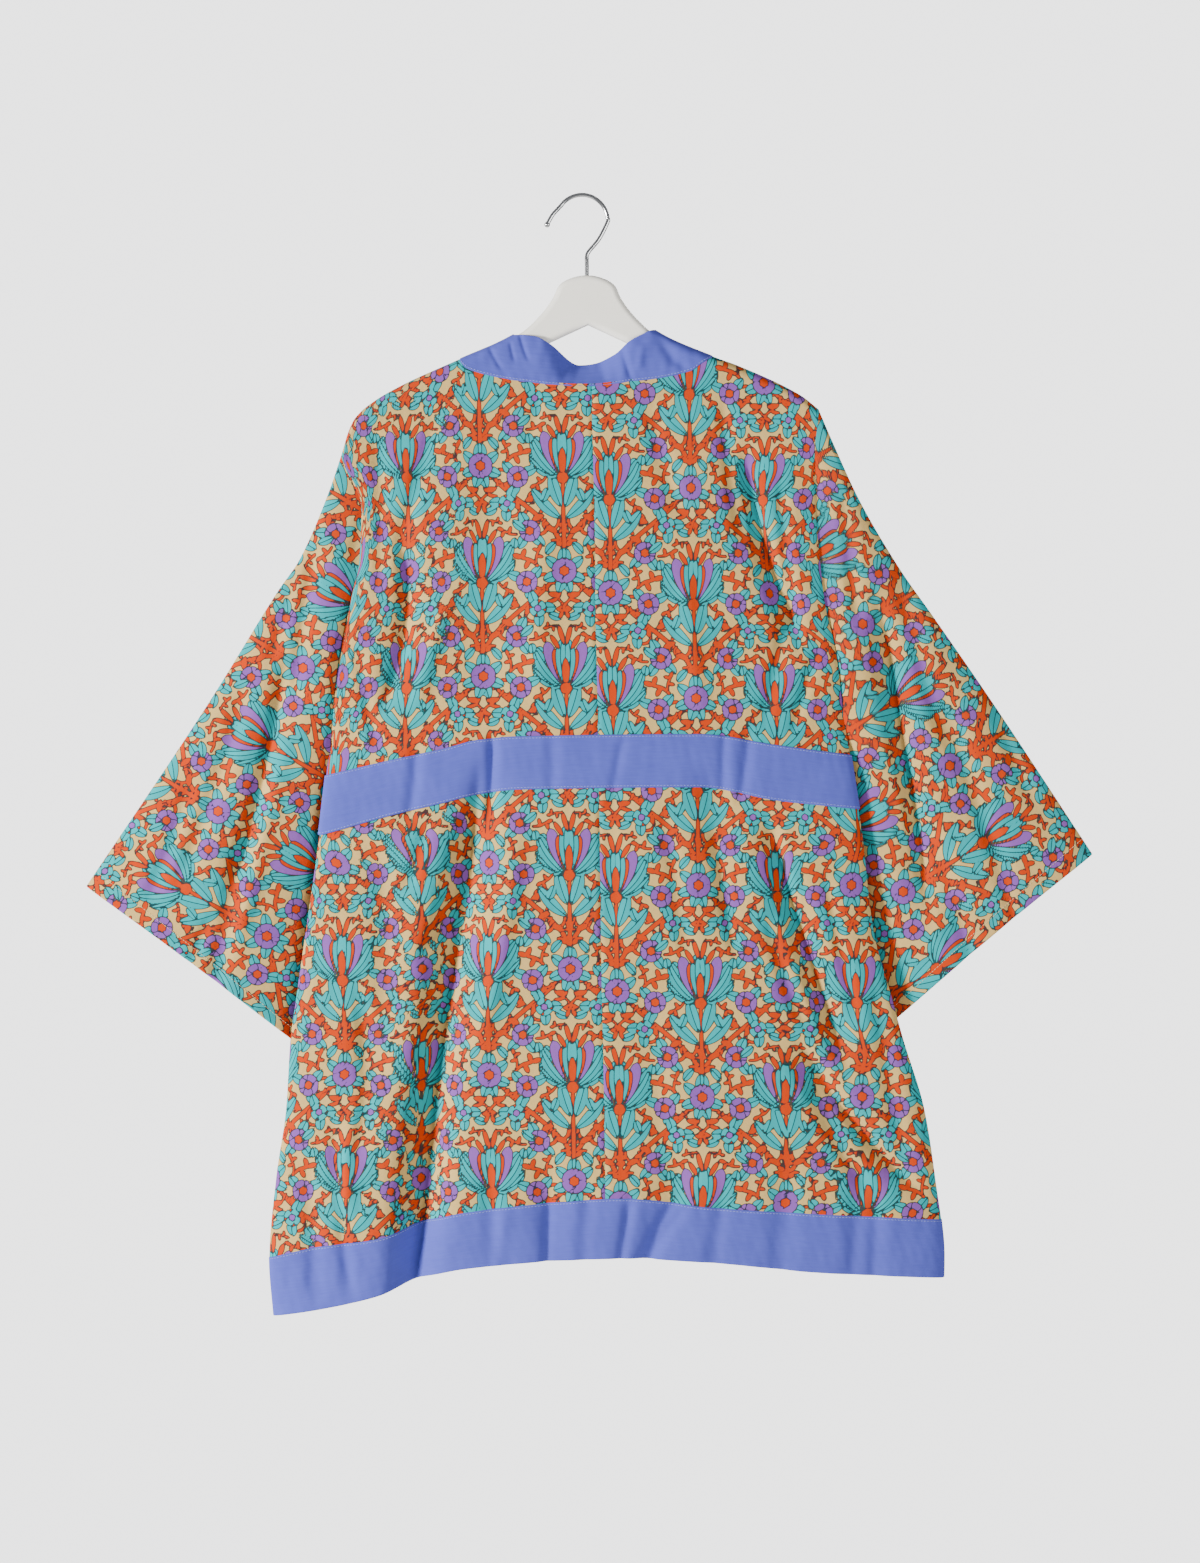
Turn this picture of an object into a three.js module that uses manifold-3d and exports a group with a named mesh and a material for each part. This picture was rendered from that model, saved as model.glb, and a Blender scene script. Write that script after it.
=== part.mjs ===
// A short, wide kimono-style robe on a wooden hanger, seen best from its back.
// Millimetres, +Z up. The origin is the underside of the hook's top, where the hook rests on its rail.
// The robe's back looks along -Y, and +X is on the right for someone who looks at the back.

import * as THREE from 'three';
import * as BufferGeometryUtils from 'three/addons/utils/BufferGeometryUtils.js';
import Module from 'manifold-3d';

const wasm = await Module();
wasm.setup();

// Cloth
const CLOTH = 1.0; // wall of the printed panels
const BAND = 1.2; // wall of the folded plain bands
const SEAM = 0.4; // gap between two pieces that are sewn together
const LAID_ON = 0.3; // gap between a panel and the band that lies on it
const FOLD_ROUNDING = 0.4; // how blunt a folded side is, 0.5 being an ellipse

// Hanger
const WOOD_THICK = 12;
const WOOD_EDGE = 5; // rounding of the wood's long edges
const ARM_SLOPE = 25 * Math.PI / 180;
const WIRE = 3.8;
const SHOULDER_ROLL = 9.5; // radius of the cloth where it passes over an arm
const ARM_GAP = CLOTH + 1.0; // from the cloth's top line down to the wood
const ARM_TIPS = { left: -201, right: 204, drop: 7, inset: 8, round: 3 };
const ARM_POINTS = [85, 110, 138, 165, 190]; // where each arm's top follows the cloth, from the centre out
const WOOD_CENTRE = 3.5;
const WOOD_TOP = -71;
const APEX = { x: 4.5, z: -116 }; // where the undersides of the arms meet
const STEM_HOLE = { radius: WIRE / 2 + 0.3, depth: 16 };
const STEM_CLEAR = 1; // from the stem's end to the bottom of its hole

// Neck of the wood, as half widths from its top down to the arms
const NECK_OF_WOOD = [
  { across: 14, z: -73.5 },
  { across: 25, z: -80 },
  { across: 31, z: -92 },
  { across: 42, z: -107 },
  { across: 60, z: -123.5 },
];

// Hook: the centre of its bow, the inner radius and the angles in degrees, then the points at both ends
const BOW = { x: -1, z: -21.5, radius: 21.5, from: 145, to: -10, step: 15.5 };
const HOOK_START = [
  { x: -32, z: -24 },
  { x: -27, z: -15.5 },
];
const HOOK_STEM = [
  { x: 14.5, z: -38 },
  { x: 5.5, z: -49 },
  { x: WOOD_CENTRE, z: -54 },
  { x: WOOD_CENTRE, z: -62 },
];
const TIP_BALL = { x: -32.4, z: -25, radius: 2.6 };

// Where the sleeves leave the body
const UNDERARM = { left: -492, right: -469 };
const ARMHOLE_TOP = { left: -232, right: -193 };
const VALLEY_DEPTH = 4.5; // half depth of the robe along the armhole seams
const ARMHOLE_CLOSES = 0.12; // lowest share of an armhole, where its two sides meet
const ARMHOLE_WIDENS = { from: 0.72, to: 0.95 }; // shares where it widens towards the hanger's arm
const ARMHOLE_GAP = 0.5;
const SLEEVE_OPENS = 0.22; // share of a sleeve's length over which it takes its own depth
const SLEEVE_TUCK = { reach: 5.5, from: 0.1, to: 0.26 }; // its lower fold goes behind the body's edge
const SLEEVE_STAND_OFF = { reach: 0.8, to: 0.03 }; // but starts this far outside it
const SLEEVE_BACK = { reach: 11, from: 0.04, to: 0.28 }; // and lies towards the robe's front
const BODY_LIFT = { reach: 6, height: 60 }; // the body's side folds lie towards the robe's back

// Level sections of the body, from the shoulders to the hem: the two sides, the centre-back seam
// and half the depth.
const BODY = [
  { z: -150, left: -218, centre: 8, right: 214, half: 9.5 },
  { z: -193, left: -218, centre: 8, right: 213, half: 9.5 },
  { z: -232, left: -218, centre: 9, right: 209, half: 10.5 },
  { z: -282, left: -200, centre: 10, right: 210, half: 13 },
  { z: -329, left: -202, centre: 11, right: 214, half: 15 },
  { z: -365, left: -210, centre: 11, right: 218, half: 16 },
  { z: -410, left: -219, centre: 12, right: 228, half: 17 },
  { z: -455, left: -226, centre: 13, right: 234, half: 18 },
  { z: -524, left: -232, centre: 14, right: 244, half: 19 },
  { z: -577, left: -238, centre: 15, right: 252, half: 20.5 },
  { z: -662, left: -250, centre: 16, right: 262, half: 23 },
  { z: -725, left: -259, centre: 17, right: 279, half: 25 },
  { z: -761, left: -264, centre: 18, right: 289, half: 26 },
  { z: -824, left: -268, centre: 19, right: 308, half: 27 },
  { z: -887, left: -277, centre: 20, right: 318, half: 28 },
  { z: -958, left: -283, centre: 20, right: 326, half: 29 },
  { z: -1012, left: -279, centre: 21, right: 324, half: 30 },
];

// Top line of the cloth over the hanger's arms. Between them it is the top of the wood.
const SHOULDERS = [
  { x: -218, z: -232 },
  { x: -212, z: -212 },
  { x: -206, z: -200 },
  { x: -192, z: -187 },
  { x: -165, z: -171 },
  { x: -110, z: -146 },
  { x: -64, z: -125 },
  { x: -40, z: -105 },
  { x: 5, z: -75 },
  { x: 50, z: -105 },
  { x: 65, z: -120.5 },
  { x: 118, z: -144.5 },
  { x: 141, z: -153 },
  { x: 196, z: -179 },
  { x: 214, z: -193 },
];

// Back neck: the seam of the neckband, and the band's upper edge.
const NECK = [
  { x: -112.5, seam: -147, edge: -147 },
  { x: -105, seam: -155.5, edge: -143.5 },
  { x: -80, seam: -163, edge: -132 },
  { x: -64, seam: -166, edge: -125.5 },
  { x: -44, seam: -168.5, edge: -127 },
  { x: -31, seam: -170, edge: -133 },
  { x: 0, seam: -171.5, edge: -150.5 },
  { x: 6, seam: -171.5, edge: -151 },
  { x: 28, seam: -169.5, edge: -144 },
  { x: 42, seam: -167.5, edge: -131.5 },
  { x: 52, seam: -166.5, edge: -126 },
  { x: 65, seam: -165, edge: -121 },
  { x: 98, seam: -157.5, edge: -135.5 },
  { x: 107, seam: -151, edge: -139.5 },
  { x: 118, seam: -144.5, edge: -144.5 },
];
const NECK_LEAN = 16; // how far the slack middle of the band leans to the front
const SLACK = { centre: 3, full: 8, ends: 42 }; // its middle, and how far to each side it is slack
const BAND_START = 5; // the band begins this far in from the neck points
const SADDLE = 14; // height of the part of the neckband that lies over a shoulder, on the front side
const ARM_ENDS = { left: -64, right: 65 }; // between these its upper edge is free
const ARM_BENDS = [-8, -4, 0, 4, 8, 13]; // columns where the edge leaves an arm, from its end inwards
const CLOSEST = 3; // least space between these and the other columns

// Plain band across the back, at the waist.
const WAIST = [
  { x: -235, top: -524, bottom: -577 },
  { x: -171, top: -509, bottom: -559 },
  { x: -125, top: -499, bottom: -548 },
  { x: -93, top: -491, bottom: -540 },
  { x: -56, top: -488, bottom: -536 },
  { x: 105, top: -486, bottom: -534 },
  { x: 175, top: -496, bottom: -546 },
  { x: 250, top: -506, bottom: -554 },
];

// Plain band round the hem: its seam with the panels, and its lower edge.
const HEM = [
  { x: -283, seam: -957.5, edge: -1011 },
  { x: -240, seam: -947.5, edge: -1004 },
  { x: -184, seam: -939.5, edge: -991 },
  { x: -143, seam: -925, edge: -974.5 },
  { x: -106, seam: -915.5, edge: -966 },
  { x: -21, seam: -906, edge: -958.5 },
  { x: 33, seam: -902.5, edge: -956.5 },
  { x: 117, seam: -911, edge: -960.5 },
  { x: 209, seam: -917, edge: -969.5 },
  { x: 327, seam: -923.5, edge: -976 },
];

// Front edges, from the neck points to the hem: the seam of the neckband and its free edge, on each side.
const FRONT_EDGES = [
  { z: -120, leftSeam: -112.5, leftEdge: -63, rightEdge: 65, rightSeam: 118 },
  { z: -300, leftSeam: -94, leftEdge: -44, rightEdge: 54, rightSeam: 104 },
  { z: -600, leftSeam: -74, leftEdge: -24, rightEdge: 44, rightSeam: 94 },
  { z: -1010, leftSeam: -58, leftEdge: -8, rightEdge: 38, rightSeam: 88 },
];

// Folds of the back and of the two fronts, as troughs: where each starts, bends and ends,
// its half width and its depth.
const BACK_FOLDS = [
  { name: 'main left', from: -487, to: -1100, xFrom: -79, xBend: -133, xTo: -163, width: 18, depth: 19 },
  { name: 'upper left', from: -275, to: -475, xFrom: -168, xBend: -160, xTo: -190, width: 14, depth: 5 },
  { name: 'back neck left', from: -185, to: -491, xFrom: -82, xBend: -85, xTo: -90, width: 22, depth: 3 },
  { name: 'upper right', from: -208, to: -420, xFrom: 145, xBend: 162, xTo: 203, width: 13, depth: 6 },
  { name: 'lower right', from: -540, to: -800, xFrom: 160, xBend: 198, xTo: 247, width: 15, depth: 7 },
  { name: 'hem right', from: -755, to: -915, xFrom: 188, xBend: 240, xTo: 318, width: 15, depth: 6 },
  { name: 'waist right', from: -500, to: -680, xFrom: 112, xBend: 125, xTo: 141, width: 16, depth: 4 },
  { name: 'lower left', from: -560, to: -850, xFrom: -190, xBend: -177, xTo: -202, width: 14, depth: 4 },
  { name: 'hem centre', from: -840, to: -1050, xFrom: -36, xBend: -28, xTo: -22, width: 14, depth: 4 },
  { name: 'hem middle', from: -850, to: -1050, xFrom: 98, xBend: 60, xTo: 40, width: 16, depth: 4 },
  { name: 'hem outer', from: -850, to: -1050, xFrom: 184, xBend: 178, xTo: 172, width: 12, depth: 3 },
];
const FOLD_ENDS = 0.25; // share of a fold's length over which it comes in, and goes out
const FOLDS_NEAR_SIDES = 1.5; // how much of the folds is kept close to a folded side
const FRONT_FOLDS = [
  { name: 'left middle', from: -300, to: -1100, xFrom: -148, xBend: -165, xTo: -188, width: 17, depth: 9 },
  { name: 'left inner', from: -560, to: -1100, xFrom: -108, xBend: -112, xTo: -104, width: 13, depth: 6 },
  { name: 'left side', from: -650, to: -1100, xFrom: -214, xBend: -227, xTo: -238, width: 13, depth: 6 },
  { name: 'right middle', from: -330, to: -1100, xFrom: 150, xBend: 172, xTo: 205, width: 17, depth: 9 },
  { name: 'right side', from: -700, to: -1100, xFrom: 244, xBend: 260, xTo: 276, width: 14, depth: 6 },
];

// Sleeves: the fold along the top from the armhole to the cuff, the cuff's lower corner and the folds.
const SLEEVES = {
  left: {
    top: [
      { t: 0, x: -218, z: -232 },
      { t: 0.08, x: -230, z: -267 },
      { t: 0.23, x: -257, z: -329 },
      { t: 0.3, x: -275, z: -355 },
      { t: 0.56, x: -337, z: -455 },
      { t: 1, x: -449, z: -623 },
    ],
    cuffLow: -766,
    cuffBow: 3,
    half: 13,
    folds: [
      { name: 'middle', from: -390, to: -640, xFrom: -262, xBend: -285, xTo: -320, width: 16, depth: 3 },
    ],
  },
  right: {
    top: [
      { t: 0, x: 214, z: -193 },
      { t: 0.05, x: 226, z: -221 },
      { t: 0.17, x: 251, z: -275 },
      { t: 0.34, x: 288, z: -338 },
      { t: 0.46, x: 316, z: -378 },
      { t: 0.65, x: 369, z: -455 },
      { t: 1, x: 460.5, z: -594 },
    ],
    cuffLow: -747,
    cuffBow: 4,
    half: 13,
    folds: [
      { name: 'middle', from: -340, to: -680, xFrom: 264, xBend: 290, xTo: 320, width: 14, depth: 6 },
    ],
  },
};

// Mesh fineness
const COLUMNS_NECK = 8; // of each back panel, from the centre seam to the neck point
const NECK_CORNER = 0.01; // share between the neck point and the column just inside it
const COLUMNS_SIDE = 11; // and from the neck point to the side
const COLUMNS_FRONT = 13;
const FRONT_SPREAD = 0.4; // how much closer together they are towards the side
const FRONT_CORNER = 0.008; // share between a front's side and the column next to it
const BAND_SHARES = [0, 0.33, 0.67, 1]; // columns across the neckband down the fronts
const ROWS = { skirt: 9, waist: 2, side: 1, chest: 8, hem: 2, neck: 2 };
const CHEST_EASE = 1.5; // rows closer together towards the underarm
const ROLL_STEPS = 4; // rows round the cloth's roll over an arm
const COLUMN_STEPS = 12; // rounds that bring a column to its crossing lines
const SLEEVE_ROWS = 11;
const HOOK_STEPS = 44;
const WOOD_STEPS = 56;

const PRINT = new THREE.MeshStandardMaterial({ color: 0xc8b48c, roughness: 0.75, metalness: 0 });
const PLAIN = new THREE.MeshStandardMaterial({ color: 0x6c78c8, roughness: 0.5, metalness: 0 });
const PAINTED = new THREE.MeshStandardMaterial({ color: 0xe4e4dc, roughness: 0.45, metalness: 0 });
const CHROME = new THREE.MeshStandardMaterial({ color: 0xc8cacc, roughness: 0.15, metalness: 1 });

const mix = THREE.MathUtils.lerp;
const clamp = THREE.MathUtils.clamp;
const rise = (value, from, to) => THREE.MathUtils.smoothstep(value, Math.min(from, to), Math.max(from, to));

// Reads a column of a table at a place between its rows, on a smooth line that never overshoots them.
function reader(table, by, column) {
  const rows = [...table].sort((a, b) => a[by] - b[by]);
  const at = rows.map((row) => row[by]);
  const value = rows.map((row) => row[column]);
  const slope = at.map((_, i) => {
    if (i === 0 || i === at.length - 1) return 0;
    const before = (value[i] - value[i - 1]) / (at[i] - at[i - 1]);
    const after = (value[i + 1] - value[i]) / (at[i + 1] - at[i]);
    return before * after > 0 ? 2 * before * after / (before + after) : 0;
  });
  const last = at.length - 1;
  slope[0] = (value[1] - value[0]) / (at[1] - at[0]);
  slope[last] = (value[last] - value[last - 1]) / (at[last] - at[last - 1]);
  return (where) => {
    const place = clamp(where, at[0], at[last]);
    let i = 0;
    while (i < last - 1 && place > at[i + 1]) i += 1;
    const span = at[i + 1] - at[i];
    const s = (place - at[i]) / span;
    const start = value[i] * (1 + 2 * s) * (1 - s) ** 2 + slope[i] * span * s * (1 - s) ** 2;
    const end = value[i + 1] * (3 - 2 * s) * s ** 2 - slope[i + 1] * span * s ** 2 * (1 - s);
    return start + end;
  };
}

const body = {
  left: reader(BODY, 'z', 'left'),
  centre: reader(BODY, 'z', 'centre'),
  right: reader(BODY, 'z', 'right'),
  half: reader(BODY, 'z', 'half'),
};
const shoulderLine = reader(SHOULDERS, 'x', 'z');
const neckSeam = reader(NECK, 'x', 'seam');
const neckEdge = reader(NECK, 'x', 'edge');
const hemSeam = reader(HEM, 'x', 'seam');
const hemEdge = reader(HEM, 'x', 'edge');
const NECK_LEFT = NECK[0].x;
const NECK_RIGHT = NECK[NECK.length - 1].x;

// Depth of the folds at a place, in or out of the cloth.
function foldDepth(folds, x, z) {
  let depth = 0;
  for (const fold of folds) {
    const s = (z - fold.from) / (fold.to - fold.from);
    if (s <= 0 || s >= 1) continue;
    const bend = 2 * fold.xBend - (fold.xFrom + fold.xTo) / 2;
    const middle = fold.xFrom * (1 - s) ** 2 + 2 * bend * s * (1 - s) + fold.xTo * s ** 2;
    const fade = rise(s, 0, FOLD_ENDS) * (1 - rise(s, 1 - FOLD_ENDS, 1));
    depth += fold.depth * fade * Math.exp(-(((x - middle) / fold.width) ** 2));
  }
  return depth;
}

// Half depth of the cloth near the shoulder line, where it rolls over a hanger's arm.
function shoulderRoll(x, z) {
  const below = clamp(shoulderLine(x) - z, 0, SHOULDER_ROLL);
  return Math.sqrt(SHOULDER_ROLL ** 2 - (SHOULDER_ROLL - below) ** 2) / SHOULDER_ROLL;
}

// Half depth of the robe along an armhole seam. It is nothing below the underarm, where the side is folded.
function armholeDepth(side, z) {
  const s = (z - UNDERARM[side]) / (ARMHOLE_TOP[side] - UNDERARM[side]);
  if (s <= 0) return 0;
  const wide = mix(VALLEY_DEPTH, SHOULDER_ROLL, rise(s, ARMHOLE_WIDENS.from, ARMHOLE_WIDENS.to));
  return wide * Math.sqrt(Math.min(1, s / ARMHOLE_CLOSES));
}

// A point of the body's cloth. The fraction runs from -1 at the left side over the centre to 1 at the right.
// layer is -1 for the back and 1 for the front, and roll is 1 where the cloth is clear of the shoulder line.
function bodyPoint(fraction, x, z, layer, roll = shoulderRoll(x, z)) {
  const side = fraction < 0 ? 'left' : 'right';
  const edge = armholeDepth(side, z);
  const lens = Math.max(0, 1 - fraction ** 2) ** FOLD_ROUNDING;
  let half = (edge + (body.half(z) - edge) * lens) * roll;
  const folds = layer < 0 ? BACK_FOLDS : FRONT_FOLDS;
  half -= foldDepth(folds, x, z) * roll * Math.min(1, lens * FOLDS_NEAR_SIDES);
  const below = rise(UNDERARM[side] - z, 0, BODY_LIFT.height);
  const middle = -BODY_LIFT.reach * below * fraction ** 6;
  return new THREE.Vector3(x, middle + layer * Math.max(SEAM / 2, half), z);
}

// One upright column of a panel, as points from the lowest to the highest crossing line.
// place gives its x at a height, and each crossing is a line that gives a height at an x.
// counts are the rows between one crossing and the next, and ease packs those of the last zone downwards.
function column(place, crossings, counts, rolled, ease = 1) {
  const heights = crossings.map((crossing) => {
    let z = crossing(place(UNDERARM.left));
    for (let step = 0; step < COLUMN_STEPS; step += 1) z = crossing(place(z));
    return z;
  });
  const rows = [];
  counts.forEach((count, zone) => {
    const low = heights[zone];
    let high = heights[zone + 1];
    const last = zone === counts.length - 1;
    const roll = last && rolled ? Math.min(SHOULDER_ROLL, (high - low) / 2) : 0;
    high -= roll;
    for (let row = zone === 0 ? 0 : 1; row <= count; row += 1) {
      rows.push(mix(low, high, (row / count) ** (last ? ease : 1)));
    }
    if (!roll) return;
    for (let step = ROLL_STEPS - 1; step >= 0; step -= 1) {
      rows.push(high + roll * Math.cos(step / ROLL_STEPS * Math.PI / 2));
    }
  });
  return rows.map((z) => ({ x: place(z), z }));
}

// Turns columns of points into rows of points, the lowest row first.
const asRows = (columns) => columns[0].map((_, row) => columns.map((points) => points[row]));

// Normals of a grid of points. Seen from outside, its columns run to the right and its rows go up.
function gridNormals(grid, ring) {
  const columns = grid[0].length;
  return grid.map((points, row) => points.map((point, j) => {
    const right = points[ring ? (j + 1) % columns : Math.min(j + 1, columns - 1)];
    const left = points[ring ? (j + columns - 1) % columns : Math.max(j - 1, 0)];
    const above = grid[Math.min(row + 1, grid.length - 1)][j];
    const below = grid[Math.max(row - 1, 0)][j];
    const across = new THREE.Vector3().subVectors(right, left);
    const up = new THREE.Vector3().subVectors(above, below);
    const normal = across.cross(up).normalize();
    if (point.endsSquare) normal.setY(0).normalize();
    return normal;
  }));
}

const moved = (grid, normals, out) => grid.map(
  (points, row) => points.map((point, j) => point.clone().addScaledVector(normals[row][j], out)),
);

// A closed wall of cloth, from the points of its outside.
function wall(outside, thickness, ring = false, normals = gridNormals(outside, ring)) {
  const inside = moved(outside, normals, -thickness);
  const columns = outside[0].length;
  const count = outside.length * columns;
  const positions = [...outside.flat(), ...inside.flat()].flatMap((point) => point.toArray());
  const faces = [];
  const cells = ring ? columns : columns - 1;
  for (let row = 0; row < outside.length - 1; row += 1) {
    for (let j = 0; j < cells; j += 1) {
      const a = row * columns + j;
      const b = row * columns + (j + 1) % columns;
      faces.push([a, b, b + columns], [a, b + columns, a + columns]);
    }
  }
  const used = new Set(faces.flatMap(([a, b, c]) => [`${a} ${b}`, `${b} ${c}`, `${c} ${a}`]));
  const index = faces.flat();
  for (const [a, b, c] of faces) {
    index.push(c + count, b + count, a + count);
    for (const [from, to] of [[a, b], [b, c], [c, a]]) {
      if (used.has(`${to} ${from}`)) continue;
      index.push(to, from, from + count, to, from + count, to + count);
    }
  }
  const geometry = new THREE.BufferGeometry();
  geometry.setAttribute('position', new THREE.Float32BufferAttribute(positions, 3));
  geometry.setIndex(index);
  geometry.computeVertexNormals();
  return geometry;
}

const robe = new THREE.Group();

function add(name, geometry, material) {
  const mesh = new THREE.Mesh(geometry, material.clone());
  mesh.name = name;
  robe.add(mesh);
}

// Marks the points on a folded side or on the shoulder line, where the wall's end lies square to the cloth.
function mark(point, endsSquare) {
  point.endsSquare = endsSquare;
  return point;
}

const aboveNeckSeam = (x) => x > NECK_LEFT && x < NECK_RIGHT;
const backTop = (x) => (aboveNeckSeam(x) ? neckSeam(x) - SEAM / 2 : shoulderLine(x));
const waistTop = reader(WAIST, 'x', 'top');
const waistBottom = reader(WAIST, 'x', 'bottom');
const spread = (j, count) => Math.sin(j / count * Math.PI / 2); // closer together towards the sides
const NECK_SHARE = THREE.MathUtils.inverseLerp(BODY[0].centre, BODY[0].right, NECK_RIGHT);

// Places of the columns of one half of the back, as shares of the way from the centre seam to the side.
const backShares = [];
for (let j = 0; j < COLUMNS_NECK; j += 1) backShares.push(NECK_SHARE * j / COLUMNS_NECK);
backShares.push(NECK_SHARE - NECK_CORNER);
for (let j = 0; j <= COLUMNS_SIDE; j += 1) backShares.push(mix(NECK_SHARE, 1, spread(j, COLUMNS_SIDE)));

// Points of one half of the back, from the centre seam to the side.
function backColumns(side, crossings, counts, rolled) {
  const sign = side === 'left' ? -1 : 1;
  const columns = [];
  for (const f of backShares) {
    const place = (z) => mix(body.centre(z) + sign * SEAM / 2, body[side](z), f);
    const points = column(place, crossings, counts, rolled, rolled ? CHEST_EASE : 1);
    columns.push(points.map(({ x, z }, row) => {
      const onShoulder = rolled && row === points.length - 1 && !aboveNeckSeam(x);
      const onSide = f === 1 && z < UNDERARM[side] + 1;
      return mark(bodyPoint(sign * f, x, z, -1), onShoulder || onSide);
    }));
  }
  return side === 'left' ? columns.reverse() : columns;
}

// Back panels, upper and lower, which meet under the middle of the waist band
const backCounts = [ROWS.skirt, ROWS.waist, ROWS.side, ROWS.chest];
const JOIN_ROW = ROWS.skirt + ROWS.waist / 2;
const underarmSides = [body.left(UNDERARM.left), body.right(UNDERARM.right)];
const underarmLine = (x) => {
  const share = clamp(THREE.MathUtils.inverseLerp(...underarmSides, x), 0, 1);
  return mix(UNDERARM.left, UNDERARM.right, share);
};
const backLines = [(x) => hemSeam(x) + SEAM / 2, waistBottom, waistTop, underarmLine, backTop];
const backs = {};
for (const side of ['left', 'right']) {
  const grid = asRows(backColumns(side, backLines, backCounts, true));
  const normals = gridNormals(grid);
  backs[side] = { grid, normals };
  const join = (by) => grid[JOIN_ROW].map((point) => point.clone().setZ(point.z + by));
  const lower = [...grid.slice(0, JOIN_ROW), join(-SEAM / 2)];
  const upper = [join(SEAM / 2), ...grid.slice(JOIN_ROW + 1)];
  add(`back_lower_${side}`, wall(lower, CLOTH, false, normals.slice(0, JOIN_ROW + 1)), PRINT);
  add(`back_upper_${side}`, wall(upper, CLOTH, false, normals.slice(JOIN_ROW)), PRINT);
}

const acrossSeam = (left, right) => left.map((points, row) => [...points.slice(0, -1), ...right[row]]);

// Waist band, laid on the back panels
const waistPart = (rows) => rows.slice(ROWS.skirt, ROWS.skirt + ROWS.waist + 1);
const joined = (part) => acrossSeam(waistPart(backs.left[part]), waistPart(backs.right[part]));
const waistNormals = joined('normals');
const waistOutside = moved(joined('grid'), waistNormals, LAID_ON + BAND);
add('waist_band', wall(waistOutside, BAND, false, waistNormals), PLAIN);

// Hem band of the back, one strip from side to side
const hemLines = [hemEdge, (x) => hemSeam(x) - SEAM / 2];
const hemRows = (side) => asRows(backColumns(side, hemLines, [ROWS.hem], false));
add('hem_band_back', wall(acrossSeam(hemRows('left'), hemRows('right')), BAND), PLAIN);

// Front panels, their hem bands and the neckband over the shoulders and down their edges.
// All hang plain behind the back.
const frontLine = (name) => reader(FRONT_EDGES, 'z', name);
const frontSide = {
  left: { sign: -1, seam: frontLine('leftSeam'), edge: frontLine('leftEdge') },
  right: { sign: 1, seam: frontLine('rightSeam'), edge: frontLine('rightEdge') },
};

const frontShares = [1 - FRONT_CORNER];
for (let j = 0; j <= COLUMNS_FRONT; j += 1) {
  frontShares.push(mix(j / COLUMNS_FRONT, spread(j, COLUMNS_FRONT), FRONT_SPREAD));
}
frontShares.sort((a, b) => a - b);

function frontColumns(side, shares, inner, outer, crossings, counts, rolled) {
  const { sign } = frontSide[side];
  const columns = [];
  for (const share of shares) {
    const place = (z) => mix(inner(z), outer(z), share);
    const points = column(place, crossings, counts, rolled, rolled ? CHEST_EASE : 1);
    columns.push(points.map(({ x, z }, row) => {
      const fraction = (x - body.centre(z)) / (body[side](z) - body.centre(z)) * sign;
      const onShoulder = rolled && row === points.length - 1;
      const onSide = outer === body[side] && share === 1 && z < UNDERARM[side] + 1;
      return mark(bodyPoint(clamp(fraction, -1, 1), x, z, 1), onShoulder || onSide);
    }));
  }
  return side === 'left' ? columns : columns.reverse();
}

const bandTop = (x) => shoulderLine(x) - SADDLE;
for (const side of ['left', 'right']) {
  const { sign, seam, edge } = frontSide[side];
  const cloth = (z) => seam(z) + sign * SEAM / 2;
  const band = (z) => seam(z) - sign * SEAM / 2;
  const panelLines = [...backLines.slice(0, -1), shoulderLine];
  const panel = frontColumns(side, frontShares, cloth, body[side], panelLines, backCounts, true);
  add(`front_${side}`, wall(asRows(panel), CLOTH), PRINT);
  const hem = frontColumns(side, frontShares, cloth, body[side], hemLines, [ROWS.hem], false);
  add(`hem_band_${side}`, wall(asRows(hem), BAND), PLAIN);
  const bandLines = [hemEdge, ...panelLines.slice(1, -1), bandTop];
  const strip = frontColumns(side, BAND_SHARES, edge, band, bandLines, backCounts, false);
  add(`neckband_${side}`, wall(asRows(strip), BAND), PLAIN);
  const saddleLines = [(x) => bandTop(x) + SEAM, shoulderLine];
  const saddle = frontColumns(side, BAND_SHARES, edge, band, saddleLines, [1], true);
  add(`neckband_shoulder_${side}`, wall(asRows(saddle), BAND), PLAIN);
}

// Neckband across the back neck, from the points of the panels' neckline.
// Its middle hangs slack and leans to the front, beneath the hanger.
const neckline = [...backs.left.grid.at(-1), ...backs.right.grid.at(-1).slice(1)];
const neckFirst = COLUMNS_SIDE;
const neckPoints = neckline.slice(neckFirst, neckline.length - neckFirst);
const bandEnds = [NECK_LEFT + BAND_START, NECK_RIGHT - BAND_START];
const neckPlaces = [...bandEnds];
for (const by of ARM_BENDS) neckPlaces.push(ARM_ENDS.left + by, ARM_ENDS.right - by);
for (const { x } of neckPoints) {
  const inside = x > bandEnds[0] && x < bandEnds[1];
  if (inside && neckPlaces.every((place) => Math.abs(place - x) > CLOSEST)) neckPlaces.push(x);
}
neckPlaces.sort((a, b) => a - b);
const seamHeight = (x) => {
  const next = neckPoints.findIndex((point) => point.x >= x);
  const [a, b] = [neckPoints[Math.max(next - 1, 0)], neckPoints[Math.max(next, 1)]];
  return mix(a.z, b.z, (x - a.x) / (b.x - a.x));
};
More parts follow.
